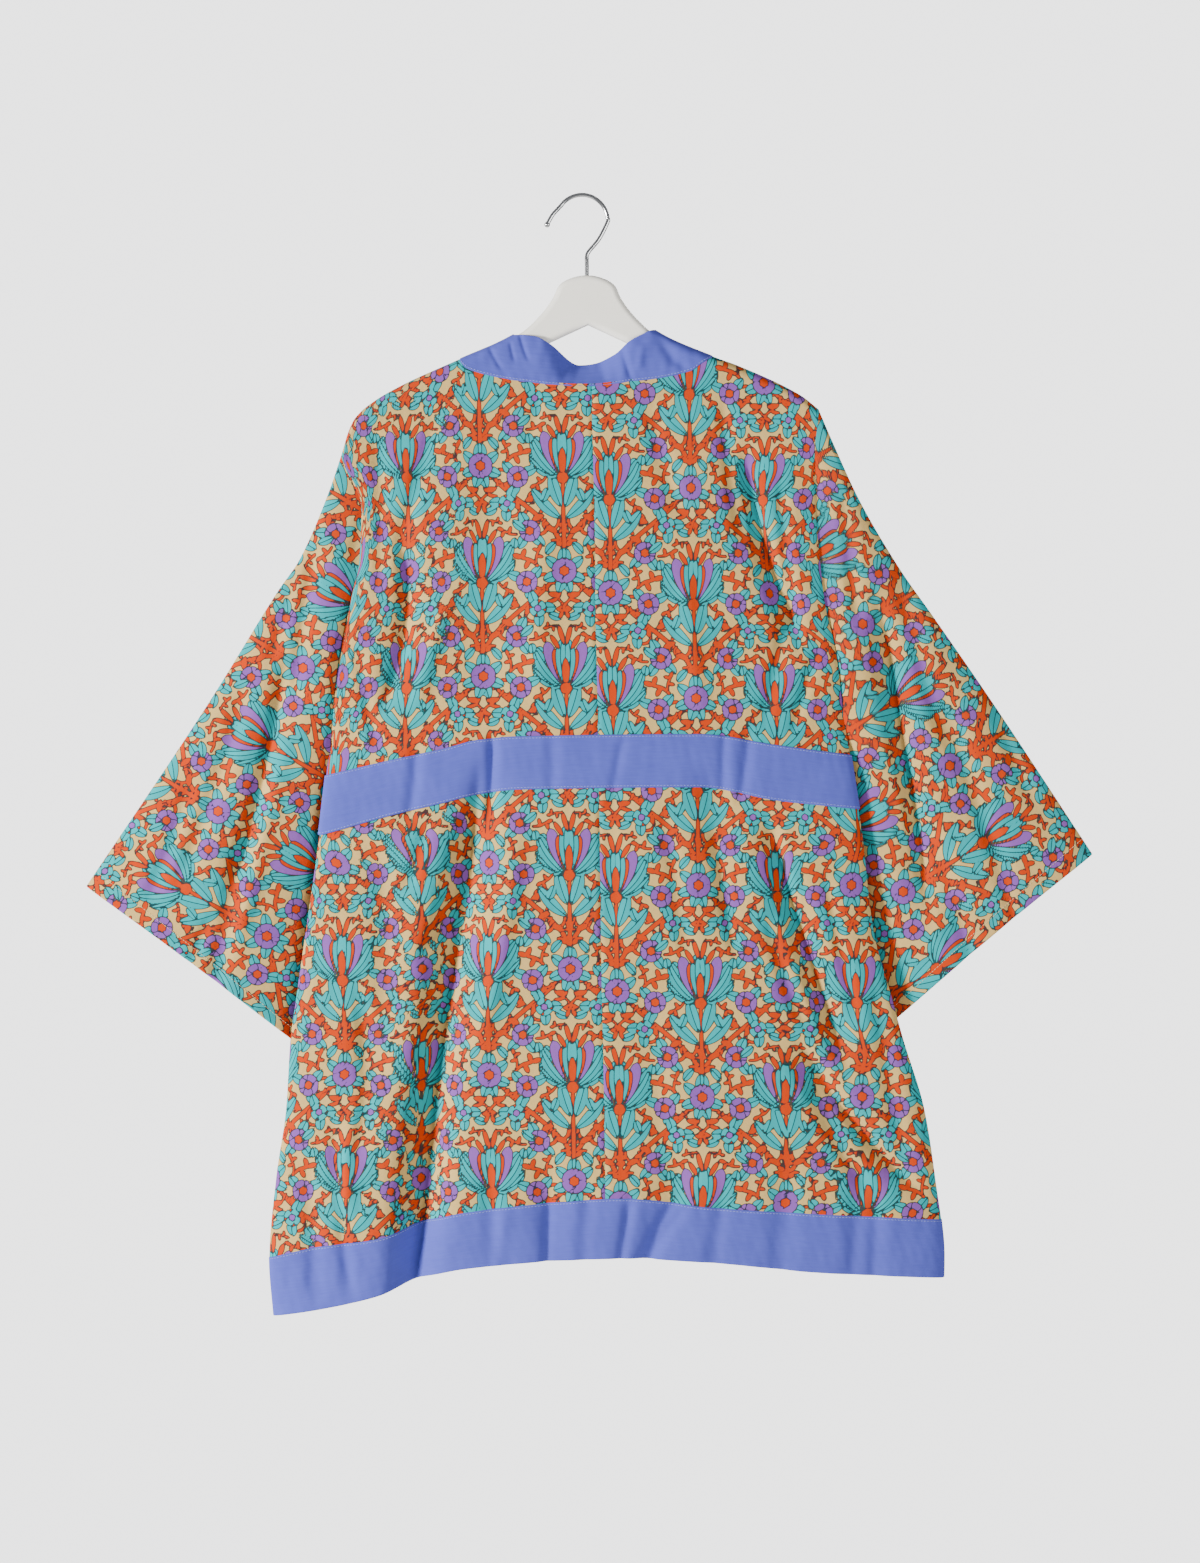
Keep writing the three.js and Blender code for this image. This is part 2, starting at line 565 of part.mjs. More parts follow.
const neckBandColumns = neckPlaces.map((x) => {
  const onArm = x <= ARM_ENDS.left || x >= ARM_ENDS.right;
  const low = seamHeight(x) + 2 * SEAM;
  const points = column(() => x, [() => low, onArm ? shoulderLine : neckEdge], [ROWS.neck], true);
  const slack = 1 - rise(Math.abs(x - SLACK.centre), SLACK.full, SLACK.ends);
  return points.map(({ z }, row) => {
    const fraction = (x - body.centre(z)) / (body.right(z) - body.centre(z));
    const point = bodyPoint(fraction, x, z, -1);
    point.y += NECK_LEAN * slack * (z - low) / (neckEdge(x) - low);
    return mark(point, onArm && row === points.length - 1);
  });
});
add('neckband_back', wall(asRows(neckBandColumns), BAND), PLAIN);

// Sleeves, each a flattened tube from the panels' points along the armhole to the cuff.
// The lower fold lies just behind the body's side.
function sleeve(side) {
  const sign = side === 'left' ? -1 : 1;
  const { top, cuffLow, cuffBow, half, folds } = SLEEVES[side];
  const topX = reader(top, 't', 'x');
  const topZ = reader(top, 't', 'z');
  const sideColumn = backs[side].grid.map((points) => (side === 'left' ? points[0] : points.at(-1)));
  const armhole = sideColumn.slice(-(ROWS.chest + ROLL_STEPS + 1)).reverse();
  const start = armhole[0];
  const low = armhole.at(-1);
  const lowFold = (t) => {
    const z = mix(low.z, cuffLow, t);
    const tucked = SLEEVE_TUCK.reach * rise(t, SLEEVE_TUCK.from, SLEEVE_TUCK.to);
    const off = SLEEVE_STAND_OFF.reach * rise(t, 0, SLEEVE_STAND_OFF.to);
    return { x: body[side](z) - sign * (tucked - off), z };
  };
  const rows = [];
  for (let i = SLEEVE_ROWS; i >= 0; i -= 1) {
    const t = i / SLEEVE_ROWS;
    const open = rise(t, 0, SLEEVE_OPENS);
    const foldPoint = lowFold(t);
    const back = [];
    const front = [];
    armhole.forEach((seam, j) => {
      const w = (seam.z - start.z) / (low.z - start.z);
      const seamOff = seam.x - mix(start.x, low.x, w);
      const apart = sign * ARMHOLE_GAP * (1 - t);
      const x = mix(topX(t), foldPoint.x, w) + seamOff * (1 - t) ** 2 + apart;
      const bow = cuffBow * t ** 4 * Math.sin(Math.PI * w);
      const z = mix(topZ(t), foldPoint.z, w) + bow - ARMHOLE_GAP * (1 - t) * (1 - w);
      const lens = (4 * w * (1 - w)) ** FOLD_ROUNDING;
      const depth = mix(Math.abs(seam.y), half * lens, open);
      const middle = SLEEVE_BACK.reach * rise(t, SLEEVE_BACK.from, SLEEVE_BACK.to) * w ** 3;
      const trough = foldDepth(folds, x, z) * Math.min(1, lens * FOLDS_NEAR_SIDES) * open;
      const atFold = j === 0 || j === armhole.length - 1;
      back.push(new THREE.Vector3(x, middle - (atFold ? 0 : depth - trough), z));
      if (!atFold) front.unshift(new THREE.Vector3(x, middle + depth, z));
    });
    const ringPoints = [...back, ...front];
    rows.push(side === 'left' ? ringPoints : ringPoints.reverse());
  }
  return wall(rows, CLOTH, true);
}
add('sleeve_left', sleeve('left'), PRINT);
add('sleeve_right', sleeve('right'), PRINT);

// Geometry to solid and back, for the cut and the join of the hanger
function solid(geometry) {
  const bare = geometry.clone();
  bare.deleteAttribute('normal');
  bare.deleteAttribute('uv');
  const merged = BufferGeometryUtils.mergeVertices(bare, 1e-4);
  const mesh = new wasm.Mesh({
    numProp: 3,
    vertProperties: new Float32Array(merged.attributes.position.array),
    triVerts: new Uint32Array(merged.index.array),
  });
  return new wasm.Manifold(mesh);
}

function geometryOf(manifold) {
  const mesh = manifold.getMesh();
  const geometry = new THREE.BufferGeometry();
  geometry.setAttribute('position', new THREE.Float32BufferAttribute(mesh.vertProperties, 3));
  geometry.setIndex([...mesh.triVerts]);
  geometry.computeVertexNormals();
  return geometry;
}

// Hanger wood: a high neck that sweeps down into two sloping arms, cut from a board and rounded
function hangerWood() {
  const armTop = (x) => {
    const slope = (shoulderLine(x + 1) - shoulderLine(x - 1)) / 2;
    return [x, shoulderLine(x) - ARM_GAP * Math.hypot(1, slope)];
  };
  const leftEnd = armTop(ARM_TIPS.left + ARM_TIPS.round);
  const rightEnd = armTop(ARM_TIPS.right - ARM_TIPS.round);
  const topPoints = [
    leftEnd,
    ...ARM_POINTS.map((x) => armTop(-x)).reverse(),
    ...NECK_OF_WOOD.map(({ across, z }) => [WOOD_CENTRE - across, z]).reverse(),
    [WOOD_CENTRE, WOOD_TOP],
    ...NECK_OF_WOOD.map(({ across, z }) => [WOOD_CENTRE + across, z]),
    ...ARM_POINTS.map(armTop),
    rightEnd,
  ];
  const topLine = new THREE.CatmullRomCurve3(topPoints.map(([x, z]) => new THREE.Vector3(x, z, 0)));
  const under = (x) => [x, APEX.z - Math.abs(x - APEX.x) * Math.tan(ARM_SLOPE)];
  const outline = [
    ...topLine.getPoints(WOOD_STEPS).map(({ x, y }) => [x, y]),
    [ARM_TIPS.right, rightEnd[1] - ARM_TIPS.drop],
    under(ARM_TIPS.right - ARM_TIPS.inset),
    under(APEX.x),
    under(ARM_TIPS.left + ARM_TIPS.inset),
    [ARM_TIPS.left, leftEnd[1] - ARM_TIPS.drop],
  ];
  const shape = new THREE.Shape(outline.map(([x, z]) => new THREE.Vector2(x, z)));
  const board = new THREE.ExtrudeGeometry(shape, {
    depth: WOOD_THICK - 2 * WOOD_EDGE,
    bevelEnabled: true,
    bevelThickness: WOOD_EDGE,
    bevelSize: WOOD_EDGE,
    bevelOffset: -WOOD_EDGE,
    bevelSegments: 3,
    curveSegments: 1,
  });
  board.translate(0, 0, WOOD_EDGE - WOOD_THICK / 2);
  board.rotateX(Math.PI / 2);
  const hole = new THREE.CylinderGeometry(STEM_HOLE.radius, STEM_HOLE.radius, STEM_HOLE.depth * 2, 16);
  hole.rotateX(Math.PI / 2);
  hole.translate(WOOD_CENTRE, 0, WOOD_TOP);
  return geometryOf(solid(board).subtract(solid(hole)));
}
add('hanger_wood', hangerWood(), PAINTED);

// Hook: a bent wire with a small ball at its open end, whose stem stands in a hole of the wood
function hangerHook() {
  const radius = BOW.radius + WIRE / 2;
  const places = [...HOOK_START];
  for (let angle = BOW.from; angle >= BOW.to; angle -= BOW.step) {
    const turn = THREE.MathUtils.degToRad(angle);
    places.push({ x: BOW.x + radius * Math.cos(turn), z: BOW.z + radius * Math.sin(turn) });
  }
  places.push(...HOOK_STEM, { x: WOOD_CENTRE, z: WOOD_TOP - STEM_HOLE.depth + STEM_CLEAR });
  const points = places.map(({ x, z }) => new THREE.Vector3(x, 0, z));
  const path = new THREE.CatmullRomCurve3(points, false, 'centripetal');
  const section = new THREE.Shape();
  section.absarc(0, 0, WIRE / 2, 0, Math.PI * 2);
  const sweep = { extrudePath: path, steps: HOOK_STEPS, curveSegments: 5 };
  const wire = new THREE.ExtrudeGeometry(section, sweep);
  const ball = new THREE.SphereGeometry(TIP_BALL.radius, 12, 8);
  ball.translate(TIP_BALL.x, 0, TIP_BALL.z);
  return geometryOf(solid(wire).add(solid(ball)));
}
add('hanger_hook', hangerHook(), CHROME);

export default robe;
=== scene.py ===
import math

import bpy
import numpy as np
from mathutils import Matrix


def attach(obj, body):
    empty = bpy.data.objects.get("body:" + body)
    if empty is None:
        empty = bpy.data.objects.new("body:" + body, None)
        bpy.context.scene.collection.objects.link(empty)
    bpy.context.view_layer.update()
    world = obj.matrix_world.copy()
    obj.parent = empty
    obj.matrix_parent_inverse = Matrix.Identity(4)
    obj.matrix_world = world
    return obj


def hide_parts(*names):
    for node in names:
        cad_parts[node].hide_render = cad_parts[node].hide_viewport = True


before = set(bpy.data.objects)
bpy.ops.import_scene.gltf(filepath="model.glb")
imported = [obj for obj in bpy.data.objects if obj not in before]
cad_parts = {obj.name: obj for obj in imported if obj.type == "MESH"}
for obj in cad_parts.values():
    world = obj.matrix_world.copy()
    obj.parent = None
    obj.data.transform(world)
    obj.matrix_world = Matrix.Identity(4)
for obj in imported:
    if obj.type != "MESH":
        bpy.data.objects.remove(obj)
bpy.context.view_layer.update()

# Camera and studio. The robe hangs flat and is seen square on from its back, with a long lens.
# A strong lamp rakes over its folds from the left, weak broad ones fill from the right and from behind, the room is
# pale, and the floor lies well below the hem.

MM = 0.001
VIEW_CENTRE, VIEW_AWAY = (15.3, -528.75), 3015
SENSOR = 36
BACK_DEPTH, VIEW_HIGH = 15, 1406.7  # where the robe's back lies, and how high the picture is there
# name, place, size, watts
LAMPS = [("lamp_left", (-3000, -1500, -400), 700, 300), ("lamp_right", (1900, -2100, -500), 1500, 52),
         ("lamp_behind", (300, 2300, 700), 1500, 62)]
LAMP_COLOUR = "FFFCF6"
ROOM, ROOM_SEEN, ROOM_LIGHT = "EDEDEE", 3.5, 0.32
FLOOR_COLOURS = ("E4E3E1", "EAE9E7")
FLOOR_DEPTH, FLOOR_RADIUS, FLOOR_SIDES = -1780, 1500, 96


def linear(hexes):
    """The linear colour of an sRGB hex value."""
    channels = [int(hexes[i:i + 2], 16) / 255 for i in (0, 2, 4)]
    return [c / 12.92 if c <= 0.04045 else ((c + 0.055) / 1.055) ** 2.4 for c in channels] + [1.0]


def step(tree, kind, inputs=None, **settings):
    """Adds one shader node with its settings. Inputs are values, or sockets and nodes that are linked to them."""
    made = tree.nodes.new("ShaderNode" + kind)
    for name, value in settings.items():
        setattr(made, name, value)
    for key, value in (inputs or {}).items():
        if isinstance(value, bpy.types.Node):
            value = value.outputs[0]
        if isinstance(value, bpy.types.NodeSocket):
            tree.links.new(value, made.inputs[key])
        else:
            made.inputs[key].default_value = value
    return made


def fresh_material(name):
    material = bpy.data.materials.new(name)
    material.use_nodes = True
    material.node_tree.nodes.clear()
    return material, material.node_tree


def placed(name, data):
    made = bpy.data.objects.new(name, data)
    bpy.context.collection.objects.link(made)
    return made


camera = placed("camera", bpy.data.cameras.new("camera"))
camera.location = (VIEW_CENTRE[0] * MM, -VIEW_AWAY * MM, VIEW_CENTRE[1] * MM)
camera.rotation_euler = (math.pi / 2, 0, 0)
camera.data.sensor_width = SENSOR
camera.data.lens = SENSOR * (VIEW_AWAY - BACK_DEPTH) / VIEW_HIGH
camera.data.clip_end = 100
bpy.context.scene.camera = camera

for name, at, size, watts in LAMPS:
    light = bpy.data.lights.new(name, "AREA")
    light.shape = "DISK"
    light.size = size * MM
    light.energy = watts
    light.color = linear(LAMP_COLOUR)[:3]
    holder = placed(name, light)
    holder.location = [value * MM for value in at]
    aim = camera.location.copy()
    aim.y = 0
    holder.rotation_euler = (aim - holder.location).to_track_quat("-Z", "Y").to_euler()

world = bpy.data.worlds.new("room")
bpy.context.scene.world = world
world.use_nodes = True
tree = world.node_tree
tree.nodes.clear()
seen = step(tree, "LightPath").outputs["Is Camera Ray"]
level = step(tree, "MapRange", {0: seen, 3: ROOM_LIGHT, 4: ROOM_SEEN})
room = step(tree, "Background", {"Color": linear(ROOM), "Strength": level})
step(tree, "OutputWorld", {"Surface": room})

floor_material, tree = fresh_material("pale_floor")
mottle = step(tree, "TexNoise", {"Scale": 3.0, "Detail": 3.0})
tone = step(tree, "Mix", {0: mottle, 6: linear(FLOOR_COLOURS[0]), 7: linear(FLOOR_COLOURS[1])}, data_type="RGBA")
pale = step(tree, "BsdfPrincipled", {"Base Color": tone.outputs[2], "Roughness": 0.7})
step(tree, "OutputMaterial", {"Surface": pale})
rim = [2 * math.pi * i / FLOOR_SIDES for i in range(FLOOR_SIDES)]
floor_mesh = bpy.data.meshes.new("floor")
floor_mesh.from_pydata([(FLOOR_RADIUS * MM * math.cos(a), FLOOR_RADIUS * MM * math.sin(a), FLOOR_DEPTH * MM)
                        for a in rim], [], [range(FLOOR_SIDES)])
floor_mesh.materials.append(floor_material)
placed("floor", floor_mesh)

# Printed cloth. It is a thin plain weave of cotton and viscose, screen printed in orange, turquoise and lilac
# with fine dark outlines on a beige ground. Thorny vines wave up it and cross, a tulip stands in each cell between
# them, round flowers sit along them, and sprigs fill the ground. Each colour is kept as millimetres from its outline.

REPEAT = (150.0, 190.0)
GRAIN, MARGIN = 0.5, 10
TILE = (int(REPEAT[1] / GRAIN), int(REPEAT[0] / GRAIN))
INK_COLOURS = {"orange": "BF3300", "leaf a": "03A2AB", "leaf b": "029AA3", "lilac a": "7E4DA6", "lilac b": "7849A2"}
NO_INK = 9.0
INKS = {ink: np.full(TILE, NO_INK) for ink in INK_COLOURS}


def turned(points, at, turn):
    c, s = math.cos(math.radians(turn)), math.sin(math.radians(turn))
    x, y = points[:, 0], points[:, 1]
    return np.column_stack((at[0] + x * c - y * s, at[1] + x * s + y * c))


def petal(at, turn, length, width, bend=0.0, base=0.8, tip=0.7, sides=(1, 1)):
    """The outline of a leaf or petal. sides tells which halves of it are wanted."""
    s = np.linspace(0, 1, 13)
    half = s ** base * (1 - s) ** tip
    half *= width / 2 / half.max()
    along, middle = length * s, bend * s ** 2
    left = np.column_stack((along, middle + half * sides[0]))
    right = np.column_stack((along, middle - half * sides[1]))[-2:0:-1]
    return turned(np.concatenate((left, right)), at, turn), None


def disc(at, radius, lobes, notch):
    """The outline of a scalloped round."""
    a = np.linspace(0, 2 * math.pi, 12 * lobes + 1)[:-1]
    reach = radius * (1 - notch * np.abs(np.cos(a * lobes / 2)) ** 3)
    return np.column_stack((at[0] + reach * np.cos(a), at[1] + reach * np.sin(a))), None


def stem(points, start, end, parts=6):
    """A smooth stroke through the points. start and end are half its thickness there."""
    points = np.array(points, float)
    ends = np.concatenate((2 * points[:1] - points[1:2], points, 2 * points[-1:] - points[-2:-1]))
    path = []
    for a, b, c, d in zip(ends, ends[1:], ends[2:], ends[3:]):
        for t in np.arange(parts) / parts:
            path.append(b + 0.5 * ((c - a) * t + (2 * a - 5 * b + 4 * c - d) * t ** 2
                                   + (3 * b - a - 3 * c + d) * t ** 3))
    path = np.array(path + [points[-1]])
    return path, np.linspace(start, end, len(path))


def curl(x, y, start, turn, radius):
    """A tendril that rolls up: from its root at an outer radius in to its eye."""
    s = np.linspace(0, 1, 10)
    angle = np.radians(start + turn * s)
    reach = radius * (1 - 0.75 * s)
    return stem(np.column_stack((x + reach * np.cos(angle), y + reach * np.sin(angle))), 1.7, 1.7 * 0.6, 3)


def away(shape, x, y):
    """Distance of places from a shape's outline, or from a stroke."""
    points, thick = shape
    after = np.roll(points, -1, 0)
    if thick is not None:
        points, after = points[:-1], after[:-1]
    near = np.full(x.shape, 1e9)
    inside = np.zeros(x.shape, bool)
    for i, ((ax, ay), (bx, by)) in enumerate(zip(points, after)):
        dx, dy = bx - ax, by - ay
        t = np.clip(((x - ax) * dx + (y - ay) * dy) / (dx * dx + dy * dy + 1e-12), 0, 1)
        gap = np.hypot(x - ax - t * dx, y - ay - t * dy)
        if thick is not None:
            gap = gap - thick[i] - (thick[i + 1] - thick[i]) * t
        elif ay != by:
            inside ^= ((ay > y) != (by > y)) & (x < ax + (y - ay) * dx / dy)
        near = np.minimum(near, gap)
    return np.where(inside, -near, near)


def lay(ink, *shapes):
    """Prints shapes over what is there, at both places of the half-drop repeat and both mirror images."""
    points = np.concatenate([shape[0] for shape in shapes])
    low = np.floor(points.min(0) / GRAIN).astype(int) - MARGIN
    high = np.ceil(points.max(0) / GRAIN).astype(int) + MARGIN
    columns, rows = np.arange(low[0], high[0] + 1), np.arange(low[1], high[1] + 1)
    x, y = np.meshgrid(columns * GRAIN, rows * GRAIN)
    gap = np.minimum.reduce([away(shape, x, y) for shape in shapes])
    for drop in (0, 1):
        for mirror in (1, -1):
            at = np.ix_((rows + drop * TILE[0] // 2) % TILE[0], (mirror * columns + drop * TILE[1] // 2) % TILE[1])
            for field in INKS.values():
                field[at] = np.maximum(field[at], -gap)
            INKS[ink][at] = np.minimum(INKS[ink][at], gap)


def leaf(at, turn, length, width, bend=0.0, slivers=2, **form):
    """A leaf of slivers side by side, which meet in dark ribs."""
    edges = np.linspace(1, -1, slivers + 1)
    for i, (left, right) in enumerate(zip(edges, edges[1:])):
        lay(("leaf a", "leaf b")[i % 2], petal(at, turn, length, width, bend, sides=(left, -right), **form))


def rosette(at, radius, petals=7, inks=("lilac a", "lilac b", "orange")):
    for i in list(range(0, petals, 2)) + list(range(1, petals, 2)):
        lay(inks[i % 2], petal(at, 12 + i * 360 / petals, radius, radius * 0.95, tip=0.28))
    lay(inks[2], disc(at, radius * 0.42, 6, 0.2))


def sprig(at, turn, size):
    """A small forked sprig that fills an empty place of the ground."""
    path = turned(size * np.array([(-0.95, -0.14), (-0.3, 0.08), (0.3, 0.0)]), at, turn)
    thick = max(0.9, 0.13 * size)
    lay("orange", stem(path, thick, thick, 3), petal(path[2], turn, 0.85 * size, 0.42 * size),
        petal(path[2], turn + 75, 0.75 * size, 0.4 * size, 0.12 * size),
        petal(path[1], turn - 68, 0.8 * size, 0.4 * size, -0.12 * size))


wave = [(REPEAT[0] / 4 * (1 + math.cos(math.pi * y / 95)), y) for y in range(-95, 96, 10)]
lay("orange", stem(wave, 2.0, 2.0))
# x, y, where its root starts, how far it rolls, radius
TENDRILS = [(61, 30, 95, -320, 12.5), (49, 50, -60, 320, 12), (20, 69, 150, -310, 10), (63, -31, -100, 310, 11),
            (45, -52, 60, -320, 12), (24, -68, 190, 310, 10)]
for tendril in TENDRILS:
    lay("orange", curl(*tendril))
# x, y, turn
THORNS = [(74, 8, 140), (70, 20, 35), (58, 36, 190), (40, 49, 15), (30, 55, 120), (71, -17, 200),
          (60, -34, -20), (46, -43, 230), (33, -54, -60), (17, -70, 190)]
for x, y, turn in THORNS:
    lay("orange", petal((x, y), turn, 12.5, 5.6, 2.5))

# a tulip stands in each cell, on a stalk with a pair of long leaves
lay("orange", stem([(0, -92), (0, -60), (0, -26)], 2.0, 1.6))
for turn, length, bend, y in ((32, 38, 9, -62), (66, 33, 4, -52)):
    leaf((1.5, y), turn, length, 11, bend)
for turn, length, width, bend in ((20, 34, 14, 9), (46, 44, 17, 7)):
    leaf((2, -24), turn, length, width, bend, 4, base=0.7, tip=0.5)
lay("lilac a", petal((3, -22), 66, 42, 12, 3, tip=0.5))
lay("orange", petal((2.5, -22), 74, 34, 8, 2, tip=0.5))
leaf((0, -24), 90, 46, 18, 0, 4, tip=0.55)
lay("orange", petal((0, -24), 90, 27, 7))
lay("orange", disc((0, -25), 5.5, 5, 0.15))
lay("orange", petal((1, 14), 76, 20, 4.6), petal((5, 10), 58, 16, 4.6))

# round flowers at the crossings and beside the vines, each with its leaves
for turn in (30, 80, -30, -80):
    leaf((0, 81), turn, 21, 10, 2)
rosette((0, 81), 11.5, 8)
for at, radius, leaves in (((44, 22), 10, (110, 230, -52)), ((41, -24), 10, (-80, 150, 40))):
    for turn in leaves:
        leaf(at, turn, radius + 9.5, 9.5, 2)
    rosette(at, radius)
for turn in (-100, 170, 60):
    leaf((24, 47), turn, 17, 9.5, 2)
rosette((24, 47), 8, 8, inks=("orange", "leaf a", "lilac a"))
for x, y, turn, length in ((68, 12, 220, 15), (31, 16, 250, 10), (34, -73, 30, 16), (56, 48, 60, 14),
                           (60, -52, -30, 14)):
    leaf((x, y), turn, length, 7.5, 2)

# sprigs grow in what ground is left, the widest places first, until those left are too narrow
SPRIG_ROOM, SPRIG_REACH, SPRIG_MOST, SPRIG_TURN = 4.6, 1.3, 12, 137.5
turn = 20.0
while True:
    printed = np.minimum.reduce(list(INKS.values())) < 0
    grown = 0
    while not printed.all():
        empty = ~printed
        near = [np.roll(printed, by, axis) for axis in (0, 1) for by in (1, -1)]
        if grown % 2:
            near += [np.roll(np.roll(printed, a, 0), b, 1) for a in (1, -1) for b in (1, -1)]
        printed = np.logical_or.reduce([printed] + near)
        grown += 1
    if grown * GRAIN < SPRIG_ROOM:
        break
    row, column = np.argwhere(empty)[0]
    sprig((column * GRAIN, row * GRAIN), turn, min(grown * GRAIN * SPRIG_REACH, SPRIG_MOST))
    turn += SPRIG_TURN


def inks_at(across, up):
    """Each colour's distance at places of the flat cloth."""
    c, r = across / GRAIN, up / GRAIN
    c0, r0 = np.floor(c).astype(int), np.floor(r).astype(int)
    fc, fr = c - c0, r - r0
    found = []
    for field in INKS.values():
        low, high = [field[r % TILE[0], c0 % TILE[1]] * (1 - fc) + field[r % TILE[0], (c0 + 1) % TILE[1]] * fc
                     for r in (r0, r0 + 1)]
        found.append(low * (1 - fr) + high * fr)
    return found


def printed_cloth():
    """Printed plain weave: matt, a little slubby, its colours slightly uneven where the screen laid them down."""
    GROUND = ("CBAC6E", "C1A162")
    OUTLINE = "18282F"
    INK_EDGE = 0.16  # mm over which a colour begins
    OUTLINE_HALF = 0.37  # mm
    THREAD = 1.1  # mm, drawn twice as coarse as the real thread so that it shows
    material, tree = fresh_material("printed_plain_weave")
    flat = step(tree, "Attribute", attribute_name="flat").outputs["Vector"]
    cloud = step(tree, "TexNoise", {"Vector": flat, "Scale": 22.0, "Detail": 4.0})
    slub = step(tree, "TexNoise", {"Vector": flat, "Scale": 620.0, "Detail": 2.0})
    shade = step(tree, "Mix", {0: slub, 6: linear(GROUND[0]), 7: linear(GROUND[1])}, data_type="RGBA")
    fields = []
    for name in ("inks_1", "inks_2"):
        inks = step(tree, "Attribute", attribute_name=name)
        fields += list(step(tree, "SeparateXYZ", {0: inks.outputs["Vector"]}).outputs)
    colour, near = shade.outputs[2], None
    for hexes, field in zip(INK_COLOURS.values(), fields):
        cover = step(tree, "MapRange", {0: field, 1: INK_EDGE, 2: -INK_EDGE, 3: 0.0, 4: 0.97})
        colour = step(tree, "Mix", {0: cover, 6: colour, 7: linear(hexes)},
                      data_type="RGBA").outputs[2]
        size = step(tree, "Math", {0: field}, operation="ABSOLUTE")
        near = size if near is None else step(tree, "Math", {0: near, 1: size}, operation="MINIMUM")
    drawn = step(tree, "MapRange", {0: near, 1: OUTLINE_HALF + 0.1, 2: OUTLINE_HALF - 0.1, 3: 0.0, 4: 0.92})
    colour = step(tree, "Mix", {0: drawn, 6: colour, 7: linear(OUTLINE)}, data_type="RGBA")
    worn = step(tree, "MapRange", {0: cloud, 1: 0.3, 2: 0.7, 3: 0.95, 4: 1.04})
    toned = step(tree, "HueSaturation", {"Color": colour.outputs[2], "Value": worn})
    wave = {"Vector": flat, "Scale": 1000 / THREAD / 20, "Distortion": 0.6, "Detail": 1.0}
    weft, warp = [step(tree, "TexWave", wave, bands_direction=way).outputs["Fac"] for way in ("X", "Y")]
    weave = step(tree, "Math", {0: weft, 1: warp}, operation="MULTIPLY")
    grain = step(tree, "Math", {0: weave, 1: slub}, operation="ADD")
    bump = step(tree, "Bump", {"Height": grain, "Strength": 0.25, "Distance": 0.0003})
    cloth = step(tree, "BsdfPrincipled", {"Base Color": toned, "Roughness": 0.85, "IOR": 1.45,
                 "Specular IOR Level": 0.0, "Sheen Weight": 0.06, "Sheen Roughness": 0.5, "Normal": bump})
    step(tree, "OutputMaterial", {"Surface": cloth})
    return material


PRINTED = printed_cloth()

# The body. It hangs as a flattened tube over the hanger, shorter at the right, and its folds run down from the
# waist band. The tables hold its level sections, its top line over the hanger's arms, the neck, waist and hem.

FOLD_ROUNDING = 0.4
SHOULDER_ROLL = 9.5
UNDERARM = (-492, -469)
ARMHOLE_TOP = (-232, -193)
VALLEY_DEPTH = 4.5
ARMHOLE_CLOSES, ARMHOLE_WIDENS = 0.12, (0.72, 0.95)
BODY_LIFT = (6, 60)
FOLD_ENDS, FOLDS_NEAR_SIDES = 0.25, 1.5
ROLL_ROWS, MEETING_STEPS, UNDER_SEAM = 9, 14, 1
SIDES = (("left", -1), ("right", 1))

# z, left side, centre seam, right side, half the depth
BODY = [
    (-150, -218, 8, 214, 9.5), (-193, -218, 8, 213, 9.5), (-232, -218, 9, 209, 10.5), (-282, -200, 10, 210, 13),
    (-329, -202, 11, 214, 15), (-365, -210, 11, 218, 16), (-410, -219, 12, 228, 17), (-455, -226, 13, 234, 18),
    (-524, -232, 14, 244, 19), (-577, -238, 15, 252, 20.5), (-662, -250, 16, 262, 23), (-725, -259, 17, 279, 25),
    (-761, -264, 18, 289, 26), (-824, -268, 19, 308, 27), (-887, -277, 20, 318, 28), (-958, -283, 20, 326, 29),
    (-1012, -279, 21, 324, 30),
]
# x, z of the cloth's top line
SHOULDERS = [
    (-218, -232), (-212, -212), (-206, -200), (-192, -187), (-165, -171), (-110, -146), (-64, -125), (-40, -105),
    (5, -75), (50, -105), (65, -120.5), (118, -144.5), (141, -153), (196, -179), (214, -193),
]
# x, the neckband's seam, its upper edge
NECK = [
    (-112.5, -147, -147), (-105, -155.5, -143.5), (-80, -163, -132), (-64, -166, -125.5), (-44, -168.5, -127),
    (-31, -170, -133), (-3, -171.5, -151.5), (5, -171.5, -151), (28, -169.5, -143), (42, -167.5, -131.5),
    (52, -166.5, -126), (65, -165, -121), (98, -157.5, -135.5), (107, -151, -139.5), (118, -144.5, -144.5),
]
# x, top, bottom of the waist band
WAIST = [
    (-235, -524, -577), (-171, -509, -559), (-125, -499, -548), (-93, -491, -540), (-56, -488, -536),
    (105, -486, -534), (175, -496, -546), (250, -506, -554),
]
# x, seam, lower edge of the hem band
HEM = [
    (-283, -957.5, -1011), (-240, -947.5, -1004), (-184, -939.5, -991), (-143, -925, -974.5), (-106, -915.5, -966),
    (-21, -906, -958.5), (33, -902.5, -956.5), (117, -911, -960.5), (209, -917, -969.5), (327, -923.5, -976),
]
